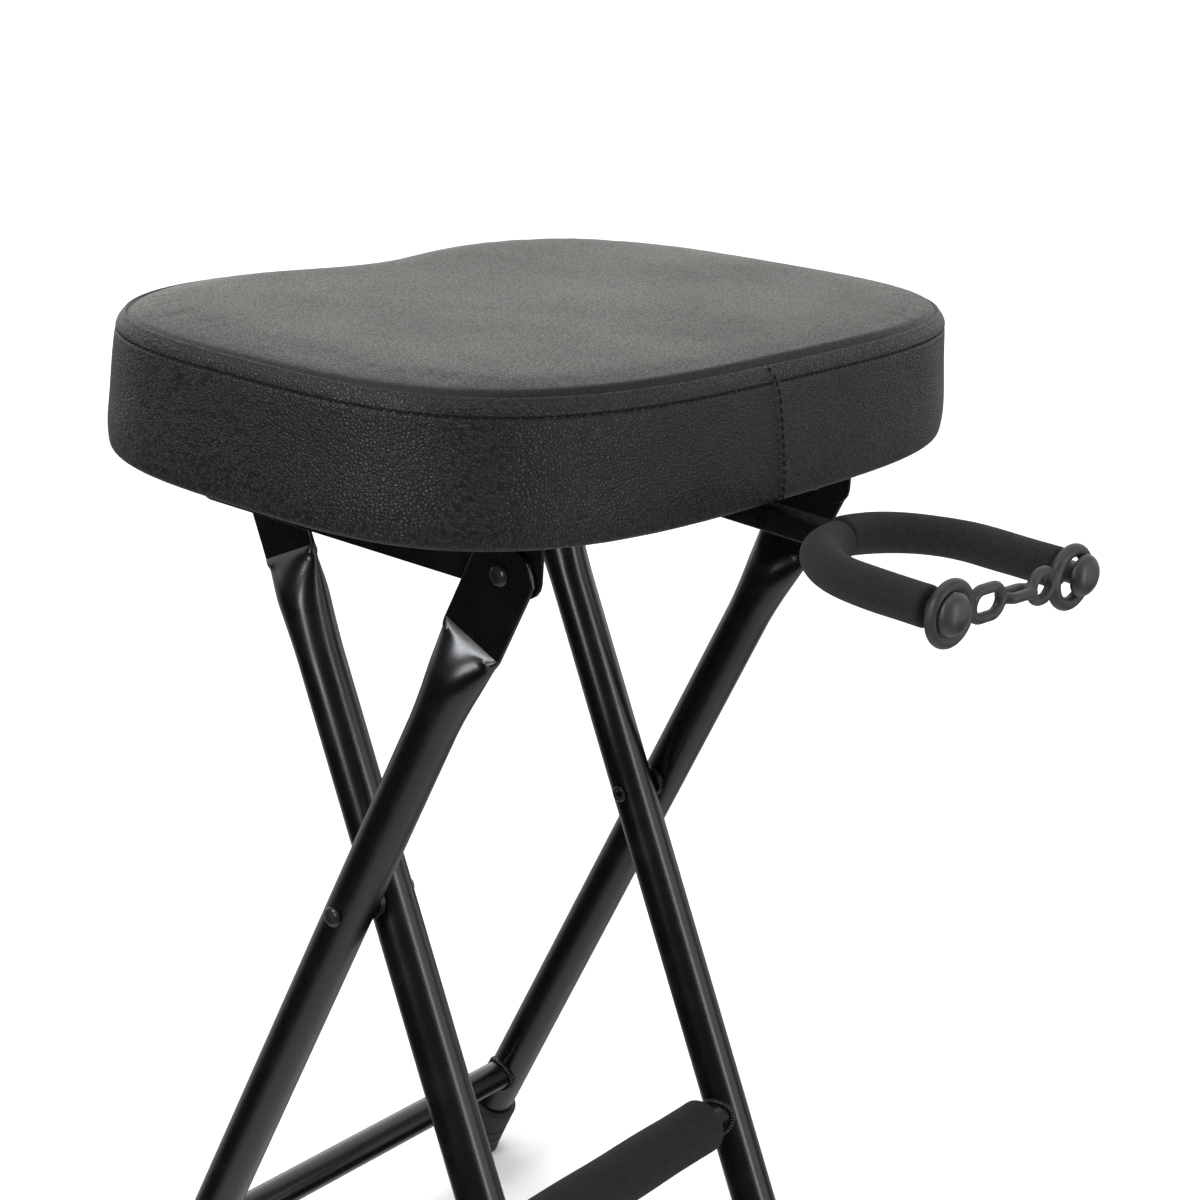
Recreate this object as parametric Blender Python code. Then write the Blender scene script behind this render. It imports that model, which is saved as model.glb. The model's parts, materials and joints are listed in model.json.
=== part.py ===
"""Folding guitar stool: a padded saddle seat on crossed legs, with a swing-out hanger for a guitar neck.

Lengths are in metres and angles in degrees. X runs from the notched side of the seat towards the
hanger, Y runs across the stool and Z is up. The stool stands on Z = 0.
"""
import math

import bmesh
import bpy
from mathutils import Vector

# Clearance between neighbouring pieces
GAP = 0.0003

# Crossed legs
LEG_DIAMETER = 0.0254
LEG_WALL = 0.0015
OUTER_LEG_SPACING = 0.2680
LEG_CLEARANCE = 0.0044
OUTER_LEAN = 24.0
INNER_LEAN = 25.6
PIVOT_HEIGHT = 0.3100
SEAT_RIVET_RISE = 0.2045

# Pressed flat at the top of each leg
FLAT_WIDTH = 0.0390
FLAT_THICKNESS = 0.0030
FLAT_CORNER = 0.0090
FLAT_PAST_HOLE = 0.0160
CREASE_BELOW_HOLE = 0.0390
PRESS_LENGTH = 0.0420
PRESS_SWELL = 0.0150
FLAT_EDGE_STEEPNESS = 2.2

# Rubber feet
FOOT_WALL = 0.0030
FOOT_PAD = 0.0150
FOOT_GRIP = 0.0300
FOOT_FLARE = 0.0012
FOOT_ROUND = 0.0020

# Cross tubes low on the legs
STRETCHER_DIAMETER = 0.0190
STRETCHER_WALL = 0.0012
OUTER_STRETCHER_DROP = 0.2650
INNER_STRETCHER_DROP = 0.2000
REST_FOAM_DIAMETER = 0.0320
REST_FOAM_SETBACK = 0.0120

# Rivets and washers
RIVET_SHANK = 0.0065
RIVET_HEAD = 0.0110
RIVET_HEAD_HEIGHT = 0.0026
RIVET_TAIL = 0.0095
RIVET_TAIL_HEIGHT = 0.0015
RIVET_BORE = 0.0036
RIVET_BORE_DEPTH = 0.0060
WASHER_DIAMETER = 0.0190

# Latch bar between the tops of the inner legs
LATCH_DIAMETER = 0.0100
LATCH_OVERHANG = 0.0070

# Padded seat
SEAT_WIDTH = 0.4570
SEAT_HANGER_REACH = 0.1594
SEAT_NOTCH_REACH = 0.1753
SEAT_CENTRE_FROM_RIVET = 0.0835
SEAT_BOTTOM_RISE = 0.0307
HANGER_END_SQUARENESS = 3.3
NOTCH_END_SQUARENESS = 3.1
NOTCH_DEPTH = 0.0251
NOTCH_HALF_WIDTH = 0.0817
HEM_ROUND = 0.0046
SKIRT_LEAN = 0.0043
SKIRT_DRAW_IN = 0.0008
STITCH_RISE = 0.0603
SHOULDER_RISE = 0.0703
SHOULDER_INSET = 0.0153
CROWN_RISE = 0.0080
BOARD_THICKNESS = 0.0120
COVER_WRAP = 0.0030

# Channels under the seat
CHANNEL_PAST_RIVET = 0.0225
CHANNEL_PAST_LATCH = 0.0240
CHANNEL_DROP = 0.0090
CHANNEL_WALL = 0.0020
CHANNEL_CORNER = 0.0090
INNER_WEB_SETBACK = 0.0320
CHANNEL_SCREW_PITCH = 0.0700
NOTCH_RAMP = 45.0

# Wood screws
SCREW_SHANK = 0.0040
SCREW_TIP = 0.0013
SCREW_HEAD = 0.0080
SCREW_HEAD_HEIGHT = 0.0024

# Swivel under the seat
SWIVEL_FROM_RIVET = 0.0250
HANGER_YAW = -5.8
PLATE_LENGTH = 0.0720
PLATE_WIDTH = 0.0700
PLATE_THICKNESS = 0.0020
PLATE_CORNER = 0.0080
PLATE_SCREW_EDGE = 0.0090
BOLT_DIAMETER = 0.0080
BOLT_HEAD_FLATS = 0.0130
BOLT_HEAD_HEIGHT = 0.0055
SWIVEL_WASHER = 0.0200
SWIVEL_WASHER_THICKNESS = 0.0012

# Hanger arm and yoke
ARM_SIDE = 0.0125
ARM_WALL = 0.0015
ARM_ROUND = 0.0015
ARM_BEHIND_BOLT = 0.0160
PLUG_FLANGE = 0.0020
PLUG_DEPTH = 0.0080
YOKE_BASE = 0.1325
YOKE_BEND = 0.0505
PRONG_LENGTH = 0.0444
YOKE_ROD = 0.0080
SLEEVE_DIAMETER = 0.0195
KNOB_NECK = 0.0110
KNOB_NECK_LENGTH = 0.0110
KNOB_HEAD = 0.0205
KNOB_HEAD_HEIGHT = 0.0070
KNOB_EDGE_ROUND = 0.0010
KNOB_SOCKET = 0.0075

# Rubber strap between the knobs
STRAP_RING_BORE = 0.0195
STRAP_HANG = 0.0020
STRAP_RING_SECTION = 0.0066
STRAP_LINK_SECTION = 0.0054
STRAP_LINK_HEIGHT = 0.0190
STRAP_MID_LENGTH = 0.0280
STRAP_MID_WIDTH = 0.0130
STRAP_LINK_OVERLAP = 0.0030

# Facets
ROUND_SIDES = 24
SMALL_SIDES = 12
SEAT_SIDES = 72
CORNER_STEPS = 4
LINK_STEPS = 22
LINK_SIDES = 8
BEND_STEPS = 10
DOME_STEPS = 3
SHOULDER_STEPS = 3
CROWN_STEPS = 4
SHARP_ANGLE = 35.0

# Sizes that follow from the ones above
LEG_RADIUS = LEG_DIAMETER / 2
INNER_LEG_SPACING = OUTER_LEG_SPACING - 2 * (LEG_DIAMETER + LEG_CLEARANCE)
OUTER_TOP = SEAT_RIVET_RISE / math.cos(math.radians(OUTER_LEAN))
INNER_TOP = SEAT_RIVET_RISE / math.cos(math.radians(INNER_LEAN))
RIVET_X = SEAT_RIVET_RISE * math.tan(math.radians(OUTER_LEAN))
LATCH_FROM_RIVET = RIVET_X + SEAT_RIVET_RISE * math.tan(math.radians(INNER_LEAN))
CHANNEL_START = -LATCH_FROM_RIVET - CHANNEL_PAST_LATCH
CHANNEL_OUTER = OUTER_LEG_SPACING / 2 - FLAT_THICKNESS / 2 - GAP
CHANNEL_INNER = INNER_LEG_SPACING / 2 + FLAT_THICKNESS / 2 + GAP
ARM_TOP = -(PLATE_THICKNESS + SWIVEL_WASHER_THICKNESS + 3 * GAP)
ARM_CENTRE = ARM_TOP - ARM_SIDE / 2
SIDES = {"near": -1, "far": 1}


def clear_scene():
    """Remove whatever the open file holds."""
    for item in list(bpy.data.objects):
        bpy.data.objects.remove(item, do_unlink=True)


def make_finish(name, colour, roughness, metallic=0.0):
    """Return a Principled material."""
    finish = bpy.data.materials.new(name)
    finish.use_nodes = True
    shader = finish.node_tree.nodes["Principled BSDF"]
    shader.inputs["Base Color"].default_value = (*colour, 1.0)
    shader.inputs["Roughness"].default_value = roughness
    shader.inputs["Metallic"].default_value = metallic
    return finish


def angles(sides):
    """Return evenly spaced angles round a full turn."""
    return [2 * math.pi * step / sides for step in range(sides)]


def square_axes(direction):
    """Return two unit vectors square to a direction and to each other."""
    helper = Vector((0, 0, 1)) if abs(direction.z) < 0.9 else Vector((1, 0, 0))
    first = helper.cross(direction).normalized()
    return first, direction.cross(first)


def circle(centre, direction, radius, sides):
    """Return the points of a circle that faces along a direction."""
    first, second = square_axes(direction)
    return [centre + radius * (math.cos(a) * first + math.sin(a) * second) for a in angles(sides)]


def skin(rings, loop=False):
    """Join rings of points into a closed mesh, capping the ends or joining last to first."""
    build = bmesh.new()
    rows = [[build.verts.new(point) for point in ring] for ring in rings]
    pairs = list(zip(rows, rows[1:]))
    if loop:
        pairs.append((rows[-1], rows[0]))
    else:
        build.faces.new(rows[0])
        build.faces.new(rows[-1])
    for lower, upper in pairs:
        for here in range(len(lower)):
            after = (here + 1) % len(lower)
            build.faces.new((lower[here], lower[after], upper[after], upper[here]))
    bmesh.ops.recalc_face_normals(build, faces=build.faces)
    mesh = bpy.data.meshes.new("skin")
    build.to_mesh(mesh)
    build.free()
    return mesh


def turned(profile, origin=(0, 0, 0), axis=(0, 0, 1), sides=ROUND_SIDES, loop=False):
    """Turn a profile of (distance along the axis, radius) steps."""
    direction = Vector(axis)
    start = Vector(origin)
    rings = [circle(start + direction * along, direction, radius, sides) for along, radius in profile]
    return skin(rings, loop)


def cylinder(radius, low, high, origin=(0, 0, 0), axis=(0, 0, 1), sides=ROUND_SIDES):
    """Return a plain cylinder between two distances along an axis."""
    return turned([(low, radius), (high, radius)], origin, axis, sides)


def pipe(outer, inner, low, high, origin=(0, 0, 0), axis=(0, 0, 1), sides=ROUND_SIDES):
    """Return a straight tube with open ends."""
    profile = [(low, outer), (high, outer), (high, inner), (low, inner)]
    return turned(profile, origin, axis, sides, loop=True)


def dome(radius, height):
    """Return steps of (rise, radius) up a dome that ends in a small flat."""
    turns = [math.pi / 2 * step / (DOME_STEPS + 1) for step in range(DOME_STEPS + 1)]
    return [(height * math.sin(turn) / math.sin(turns[-1]), radius * math.cos(turn)) for turn in turns]


def rounded_outline(length, width, corner, steps=CORNER_STEPS):
    """Return the points of a rectangle with round corners, about its centre."""
    points = []
    for quarter, (sx, sy) in enumerate(((1, 1), (-1, 1), (-1, -1), (1, -1))):
        centre = Vector((sx * (length / 2 - corner), sy * (width / 2 - corner)))
        for step in range(steps + 1):
            turn = math.pi / 2 * (quarter + step / steps)
            points.append(centre + corner * Vector((math.cos(turn), math.sin(turn))))
    return points


def block(low, high):
    """Return a box between two corners."""
    corners = [(low[0], low[1]), (high[0], low[1]), (high[0], high[1]), (low[0], high[1])]
    return skin([[Vector((x, y, z)) for x, y in corners] for z in (low[2], high[2])])


def boolean(mesh, tools, operation="DIFFERENCE"):
    """Cut meshes out of a mesh, or join them to it, and return the result."""
    target = bpy.data.objects.new("target", mesh)
    bpy.context.scene.collection.objects.link(target)
    helpers = []
    for tool in tools:
        helper = bpy.data.objects.new("tool", tool)
        helper.hide_render = True
        helper.display_type = "WIRE"
        bpy.context.scene.collection.objects.link(helper)
        helpers.append(helper)
        modifier = target.modifiers.new("boolean", "BOOLEAN")
        modifier.operation = operation
        modifier.object = helper
    depsgraph = bpy.context.evaluated_depsgraph_get()
    result = bpy.data.meshes.new_from_object(target.evaluated_get(depsgraph))
    for item in (target, *helpers):
        bpy.data.objects.remove(item, do_unlink=True)
    return result


def add_empty(name, parent=None, location=(0, 0, 0), rotation=(0, 0, 0)):
    """Add an empty that carries a group of pieces; its rotation is in degrees."""
    empty = bpy.data.objects.new(name, None)
    empty.parent = parent
    empty.location = location
    empty.rotation_euler = [math.radians(turn) for turn in rotation]
    bpy.context.scene.collection.objects.link(empty)
    return empty


def add_piece(name, mesh, parent, finish, location=(0, 0, 0)):
    """Add one named piece to its group."""
    mesh.name = name
    mesh.materials.clear()
    mesh.materials.append(finish)
    mesh.shade_smooth()
    mesh.set_sharp_from_angle(angle=math.radians(SHARP_ANGLE))
    piece = bpy.data.objects.new(name, mesh)
    piece.parent = parent
    piece.location = location
    bpy.context.scene.collection.objects.link(piece)
    return piece


def leg_bottom(lean):
    """Return where a leg tube ends, along the leg from the cross pivot."""
    return -PIVOT_HEIGHT / math.cos(math.radians(lean)) + FOOT_PAD


def pressed_ring(width, height):
    """Return one ring of a leg's pressed flat, wide along X and thin along Y."""
    points = []
    for angle in angles(ROUND_SIDES):
        side = max(-1.0, min(1.0, FLAT_EDGE_STEEPNESS * math.sin(angle)))
        points.append(Vector((width / 2 * math.cos(angle), FLAT_THICKNESS / 2 * side, height)))
    return points


def oval_ring(width, depth, height):
    """Return one oval ring of a leg, between its pressed flat and the round tube."""
    return [Vector((width / 2 * math.cos(a), depth / 2 * math.sin(a), height)) for a in angles(ROUND_SIDES)]


def round_ring(radius, height):
    """Return a round ring about Z."""
    return oval_ring(2 * radius, 2 * radius, height)


def make_leg(top, bottom, top_hole):
    """Return a leg: a tube along Z about the cross pivot, pressed flat round its top hole."""
    crease = top - CREASE_BELOW_HOLE
    shoulder = crease - PRESS_LENGTH
    end = top + FLAT_PAST_HOLE
    bore = LEG_RADIUS - LEG_WALL
    swell = PRESS_SWELL / PRESS_LENGTH
    swell_width = FLAT_WIDTH + (LEG_DIAMETER - FLAT_WIDTH) * swell
    swell_depth = FLAT_THICKNESS + (LEG_DIAMETER - FLAT_THICKNESS) * math.sqrt(swell)
    mesh = skin([
        pressed_ring(FLAT_WIDTH - 2 * FLAT_CORNER, end),
        pressed_ring(FLAT_WIDTH, end - FLAT_CORNER),
        pressed_ring(FLAT_WIDTH, crease),
        oval_ring(swell_width, swell_depth, crease - PRESS_SWELL),
        round_ring(LEG_RADIUS, shoulder),
        round_ring(LEG_RADIUS, bottom),
        round_ring(bore, bottom),
        round_ring(bore, shoulder - 2 * LEG_WALL),
    ])
    cuts = [cylinder(hole / 2 + GAP, -LEG_DIAMETER, LEG_DIAMETER, (0, 0, height), (0, 1, 0), sides)
            for hole, height, sides in ((RIVET_SHANK, 0, SMALL_SIDES), (top_hole, top, ROUND_SIDES))]
    return boolean(mesh, cuts)


def make_foot(lean, sign):
    """Return a rubber foot round the end of a leg, cut flat at the floor.

    The sign is 1 for a leg whose top leans towards +X and -1 for the other pair.
    """
    turn = math.radians(lean)
    tube_end = leg_bottom(lean)
    bore = LEG_RADIUS + GAP
    outer = bore + FOOT_WALL
    top = tube_end + FOOT_GRIP
    floor = []
    for point in round_ring(outer + FOOT_FLARE, 0):
        level = (sign * point.x * math.sin(turn) - PIVOT_HEIGHT) / math.cos(turn)
        floor.append(Vector((point.x, point.y, level)))
    return skin([
        round_ring(bore, tube_end - GAP),
        round_ring(bore, top),
        round_ring(outer - FOOT_ROUND, top),
        round_ring(outer, top - FOOT_ROUND),
        floor,
    ])


def make_stretcher(spacing, drop):
    """Return a cross tube with its ends shaped to the legs that it joins."""
    reach = spacing / 2
    tube = pipe(STRETCHER_DIAMETER / 2, STRETCHER_DIAMETER / 2 - STRETCHER_WALL, -reach, reach,
                (0, 0, -drop), (0, 1, 0))
    legs = [cylinder(LEG_RADIUS + GAP, -drop - LEG_DIAMETER, -drop + LEG_DIAMETER, (0, side * reach, 0))
            for side in SIDES.values()]
    return boolean(tube, legs)


def make_rivet(grip):
    """Return a rivet for the far side: domed head past 0 on Y, tubular tail inside the grip."""
    shank = RIVET_SHANK / 2
    tail = grip + GAP
    tail_end = tail + RIVET_TAIL_HEIGHT
    head = [(-GAP - rise, radius) for rise, radius in dome(RIVET_HEAD / 2, RIVET_HEAD_HEIGHT)]
    return turned([
        *reversed(head),
        (-GAP, shank),
        (tail, shank),
        (tail, RIVET_TAIL / 2),
        (tail_end, (RIVET_TAIL - RIVET_TAIL_HEIGHT) / 2),
        (tail_end, RIVET_BORE / 2),
        (tail_end - RIVET_BORE_DEPTH, RIVET_BORE / 2),
    ], axis=(0, -1, 0), sides=SMALL_SIDES)


def mirror_side(mesh, side):
    """Mirror a mesh that was made for the far side, where it is wanted on the near side."""
    if side < 0:
        for vertex in mesh.vertices:
            vertex.co.y = -vertex.co.y
        mesh.flip_normals()
    return mesh


def add_outer_frame(root, paint, rubber, steel):
    """Add the outer pair of legs with their cross tube, feet, rivets and washers."""
    frame = add_empty("outer_frame", root, (0, 0, PIVOT_HEIGHT), (0, OUTER_LEAN, 0))
    inner_reach = INNER_LEG_SPACING / 2
    cross_grip = 2 * LEG_DIAMETER + LEG_CLEARANCE
    seat_grip = FLAT_THICKNESS + GAP + CHANNEL_WALL
    for label, side in SIDES.items():
        place = side * OUTER_LEG_SPACING / 2
        leg = make_leg(OUTER_TOP, leg_bottom(OUTER_LEAN), RIVET_SHANK)
        add_piece(f"outer_leg_{label}", leg, frame, paint, (0, place, 0))
        add_piece(f"outer_foot_{label}", make_foot(OUTER_LEAN, 1), frame, rubber, (0, place, 0))
        add_piece(f"cross_rivet_{label}", mirror_side(make_rivet(cross_grip), side), frame, steel,
                  (0, place + side * LEG_RADIUS, 0))
        add_piece(f"seat_rivet_{label}", mirror_side(make_rivet(seat_grip), side), frame, steel,
                  (0, place + side * FLAT_THICKNESS / 2, OUTER_TOP))
        washer = pipe(WASHER_DIAMETER / 2, RIVET_SHANK / 2 + GAP, GAP, LEG_CLEARANCE - GAP, axis=(0, 1, 0))
        add_piece(f"cross_washer_{label}", mirror_side(washer, side), frame, steel,
                  (0, side * (inner_reach + LEG_RADIUS), 0))
    add_piece("outer_stretcher", make_stretcher(OUTER_LEG_SPACING, OUTER_STRETCHER_DROP), frame, paint)


def add_inner_frame(root, paint, rubber, foam, steel):
    """Add the inner pair of legs with their cross tube, foam rest, feet and latch bar."""
    frame = add_empty("inner_frame", root, (0, 0, PIVOT_HEIGHT), (0, -INNER_LEAN, 0))
    reach = INNER_LEG_SPACING / 2
    for label, side in SIDES.items():
        leg = make_leg(INNER_TOP, leg_bottom(INNER_LEAN), LATCH_DIAMETER)
        add_piece(f"inner_leg_{label}", leg, frame, paint, (0, side * reach, 0))
        add_piece(f"inner_foot_{label}", make_foot(INNER_LEAN, -1), frame, rubber, (0, side * reach, 0))
    add_piece("inner_stretcher", make_stretcher(INNER_LEG_SPACING, INNER_STRETCHER_DROP), frame, paint)
    foam_reach = reach - LEG_RADIUS - REST_FOAM_SETBACK
    rest = pipe(REST_FOAM_DIAMETER / 2, STRETCHER_DIAMETER / 2 + GAP, -foam_reach, foam_reach,
                (0, 0, -INNER_STRETCHER_DROP), (0, 1, 0))
    add_piece("body_rest_foam", rest, frame, foam)
    bar_reach = reach + FLAT_THICKNESS / 2 + LATCH_OVERHANG
    bar = cylinder(LATCH_DIAMETER / 2, -bar_reach, bar_reach, axis=(0, 1, 0), sides=ROUND_SIDES)
    add_piece("latch_bar", bar, frame, steel, (0, 0, INNER_TOP))


def seat_outline(inset, height, share=1.0):
    """Return the seat's saddle outline at one height, drawn in by an inset or shrunk to a share."""
    points = []
    half_width = SEAT_WIDTH / 2 - inset
    for angle in angles(SEAT_SIDES):
        along = math.cos(angle)
        across = math.sin(angle)
        reach, power = SEAT_HANGER_REACH - inset, HANGER_END_SQUARENESS
        if along < 0:
            reach, power = SEAT_NOTCH_REACH - inset, NOTCH_END_SQUARENESS
        radius = (abs(along / reach) ** power + abs(across / half_width) ** power) ** (-1 / power)
        x = radius * along
        y = radius * across
        if along < 0:
            x += NOTCH_DEPTH * math.exp(-((y / NOTCH_HALF_WIDTH) ** 2))
        points.append(Vector((share * x, share * y, height)))
    return points


def make_cushion():
    """Return the padded seat: crowned top, drawn-in skirt and a recess below for the board."""
    recess = HEM_ROUND + COVER_WRAP - GAP
    sections = [(recess, BOARD_THICKNESS + GAP), (recess, 0)]
    for step in range(SHOULDER_STEPS):
        turn = math.pi / 2 * step / (SHOULDER_STEPS - 1)
        sections.append((HEM_ROUND * (1 - math.sin(turn)), HEM_ROUND * (1 - math.cos(turn))))
    sections.append((SKIRT_LEAN / 2 + SKIRT_DRAW_IN, STITCH_RISE / 2))
    for step in range(SHOULDER_STEPS + 1):
        turn = math.pi / 2 * step / SHOULDER_STEPS
        sections.append((SKIRT_LEAN + (SHOULDER_INSET - SKIRT_LEAN) * (1 - math.cos(turn)),
                         STITCH_RISE + (SHOULDER_RISE - STITCH_RISE) * math.sin(turn)))
    rings = [seat_outline(inset, height) for inset, height in sections]
    for step in range(1, CROWN_STEPS + 1):
        share = math.cos(math.pi / 2 * step / (CROWN_STEPS + 1))
        rings.append(seat_outline(SHOULDER_INSET, SHOULDER_RISE + CROWN_RISE * (1 - share ** 2), share))
    return skin(rings)


def channel_screw_places(side):
    """Return where the wood screws hold one channel, from the seat rivet."""
    middle = (CHANNEL_START + CHANNEL_PAST_RIVET) / 2
    across = side * (CHANNEL_OUTER + CHANNEL_INNER) / 2
    return [(middle + step * CHANNEL_SCREW_PITCH, across) for step in (-1, 0, 1)]


def plate_screw_places():
    """Return where the wood screws hold the swivel plate, from the swivel bolt."""
    along = PLATE_LENGTH / 2 - PLATE_SCREW_EDGE
    across = PLATE_WIDTH / 2 - PLATE_SCREW_EDGE
    return [(sx * along, sy * across) for sx in (-1, 1) for sy in (-1, 1)]


def make_board():
    """Return the plywood board inside the seat, drilled for its screws and the swivel bolt."""
    inset = HEM_ROUND + COVER_WRAP
    board = skin([seat_outline(inset, 0), seat_outline(inset, BOARD_THICKNESS)])
    swivel_x = SEAT_CENTRE_FROM_RIVET - SWIVEL_FROM_RIVET
    places = [(swivel_x + x, y) for x, y in plate_screw_places()]
    for side in SIDES.values():
        places += [(SEAT_CENTRE_FROM_RIVET + x, y) for x, y in channel_screw_places(side)]
    drills = [(x, y, SCREW_SHANK) for x, y in places] + [(swivel_x, 0, BOLT_DIAMETER)]
    tools = [cylinder(size / 2 + GAP, -BOARD_THICKNESS, 2 * BOARD_THICKNESS, (x, y, 0), sides=SMALL_SIDES)
             for x, y, size in drills]
    return boolean(board, tools)


def channel_outline(start, end, low, high):
    """Return a channel's side view in X and Z, with its two lower corners rounded."""
    outline = [(end, high), (start, high)]
    for centre_x, first_turn in ((start + CHANNEL_CORNER, math.pi), (end - CHANNEL_CORNER, 1.5 * math.pi)):
        for step in range(CORNER_STEPS + 1):
            turn = first_turn + math.pi / 2 * step / CORNER_STEPS
            outline.append((centre_x + CHANNEL_CORNER * math.cos(turn),
                            low + CHANNEL_CORNER + CHANNEL_CORNER * math.sin(turn)))
    return outline


def latch_notch():
    """Return the cut for the latch bar: a straight outer wall, and a ramp on the side it leaves by."""
    room = LATCH_DIAMETER / 2 + GAP
    low = -CHANNEL_DROP - LATCH_DIAMETER
    ramp = (room - low) * math.tan(math.radians(NOTCH_RAMP))
    outline = [(-room, low), (room + ramp, low), (room, room), (-room, room)]
    webs = (CHANNEL_INNER - CHANNEL_WALL, CHANNEL_INNER + 2 * CHANNEL_WALL)
    return skin([[Vector((x - LATCH_FROM_RIVET, y, z)) for x, z in outline] for y in webs])


def make_channel(side):
    """Return one inverted channel: pivot hole in its outer web, latch notch in its inner web."""
    top = SEAT_BOTTOM_RISE - GAP
    outline = channel_outline(CHANNEL_START, CHANNEL_PAST_RIVET, -CHANNEL_DROP, top)
    body = skin([[Vector((x, y, z)) for x, z in outline] for y in (CHANNEL_INNER, CHANNEL_OUTER)])
    end = CHANNEL_PAST_RIVET + CHANNEL_WALL
    hollow = block((CHANNEL_START - CHANNEL_WALL, CHANNEL_INNER + CHANNEL_WALL, -2 * CHANNEL_DROP),
                   (end, CHANNEL_OUTER - CHANNEL_WALL, top - CHANNEL_WALL))
    setback = block((CHANNEL_PAST_RIVET - INNER_WEB_SETBACK, CHANNEL_INNER - CHANNEL_WALL, -2 * CHANNEL_DROP),
                    (end, CHANNEL_OUTER - 2 * CHANNEL_WALL, top - CHANNEL_WALL))
    rivet_hole = cylinder(RIVET_SHANK / 2 + GAP, CHANNEL_OUTER - 2 * CHANNEL_WALL,
                          CHANNEL_OUTER + CHANNEL_WALL, axis=(0, 1, 0), sides=SMALL_SIDES)
    screw_holes = [cylinder(SCREW_SHANK / 2 + GAP, top - 2 * CHANNEL_WALL, top + CHANNEL_WALL, (x, y, 0),
                            sides=SMALL_SIDES) for x, y in channel_screw_places(1)]
    return mirror_side(boolean(body, [hollow, setback, latch_notch(), rivet_hole, *screw_holes]), side)


def make_screw(seat_depth):
    """Return a pan-head wood screw driven up into the board from a seat below its face."""
    under = -seat_depth - GAP
    head = [(under - rise, radius) for rise, radius in dome(SCREW_HEAD / 2, SCREW_HEAD_HEIGHT)]
    point = BOARD_THICKNESS - GAP
    return turned([
        *reversed(head),
        (under, SCREW_SHANK / 2),
        (point - SCREW_SHANK, SCREW_SHANK / 2),
        (point, SCREW_TIP / 2),
    ], sides=SMALL_SIDES)


def hexagon(flats, height):
    """Return a hexagon ring with as many points as a round ring."""
    points = []
    for angle in angles(ROUND_SIDES):
        off_corner = (angle + math.pi / 6) % (math.pi / 3) - math.pi / 6
        radius = flats / 2 / math.cos(math.pi / 6 - abs(off_corner))
        points.append(Vector((radius * math.cos(angle), radius * math.sin(angle), height)))
    return points


def make_swivel_bolt():
    """Return the swivel bolt: hexagon head below the arm, shank up through the board."""
    head_top = ARM_TOP - ARM_SIDE - SWIVEL_WASHER_THICKNESS - 2 * GAP
    shank = BOLT_DIAMETER / 2
    return skin([
        hexagon(BOLT_HEAD_FLATS, head_top - BOLT_HEAD_HEIGHT),
        hexagon(BOLT_HEAD_FLATS, head_top),
        round_ring(shank, head_top),
        round_ring(shank, BOARD_THICKNESS - GAP),
    ])


def add_seat(root, leather, plywood, paint, steel):
    """Add the padded seat, its board, channels, screws and swivel parts; return the swivel empty."""
    rivet_height = PIVOT_HEIGHT + SEAT_RIVET_RISE
    seat = add_empty("seat", root, (RIVET_X, 0, rivet_height))
    middle = (-SEAT_CENTRE_FROM_RIVET, 0, SEAT_BOTTOM_RISE)
    add_piece("seat_cushion", make_cushion(), seat, leather, middle)
    add_piece("seat_board", make_board(), seat, plywood, middle)
    for label, side in SIDES.items():
        add_piece(f"channel_{label}", make_channel(side), seat, paint)
        for count, (x, y) in enumerate(channel_screw_places(side), start=1):
            add_piece(f"channel_screw_{label}_{count}", make_screw(GAP + CHANNEL_WALL), seat, steel,
                      (x, y, SEAT_BOTTOM_RISE))
    swivel = add_empty("swivel", seat, (-SWIVEL_FROM_RIVET, 0, SEAT_BOTTOM_RISE))
    outline = rounded_outline(PLATE_LENGTH, PLATE_WIDTH, PLATE_CORNER)
    plate = skin([[Vector((*point, z)) for point in outline] for z in (-GAP - PLATE_THICKNESS, -GAP)])
    drill_low, drill_high = -2 * PLATE_THICKNESS, PLATE_THICKNESS
    holes = [cylinder(SCREW_SHANK / 2 + GAP, drill_low, drill_high, (x, y, 0), sides=SMALL_SIDES)
             for x, y in plate_screw_places()]
    holes.append(cylinder(BOLT_DIAMETER / 2 + GAP, drill_low, drill_high))
    add_piece("swivel_plate", boolean(plate, holes), swivel, paint)
    for count, (x, y) in enumerate(plate_screw_places(), start=1):
        add_piece(f"plate_screw_{count}", make_screw(GAP + PLATE_THICKNESS), swivel, steel, (x, y, 0))
    washer_seats = {"upper": ARM_TOP + GAP, "lower": ARM_TOP - ARM_SIDE - GAP - SWIVEL_WASHER_THICKNESS}
    for label, low in washer_seats.items():
        washer = pipe(SWIVEL_WASHER / 2, BOLT_DIAMETER / 2 + GAP, low, low + SWIVEL_WASHER_THICKNESS)
        add_piece(f"swivel_washer_{label}", washer, swivel, steel)
    add_piece("swivel_bolt", make_swivel_bolt(), swivel, steel)
    return swivel


def yoke_path(start_angle, past_foam):
    """Return points of the far half of the yoke from its base, with their directions.

    The half bends a quarter turn from the start angle and then runs straight along its prong, to a
    distance past the end of the foam.
    """
    path = []
    for step in range(BEND_STEPS + 1):
        turn = start_angle + (math.pi / 2 - start_angle) * step / BEND_STEPS
        point = Vector((YOKE_BASE + YOKE_BEND * (1 - math.cos(turn)), YOKE_BEND * math.sin(turn), ARM_CENTRE))
        path.append((point, Vector((math.sin(turn), math.cos(turn), 0))))
    path.append((prong_point(1, past_foam), Vector((1, 0, 0))))
    return path


def prong_point(side, past_foam):
    """Return the point on one prong's axis at a distance past its foam."""
    return Vector((YOKE_BASE + YOKE_BEND + PRONG_LENGTH + past_foam, side * YOKE_BEND, ARM_CENTRE))


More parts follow.
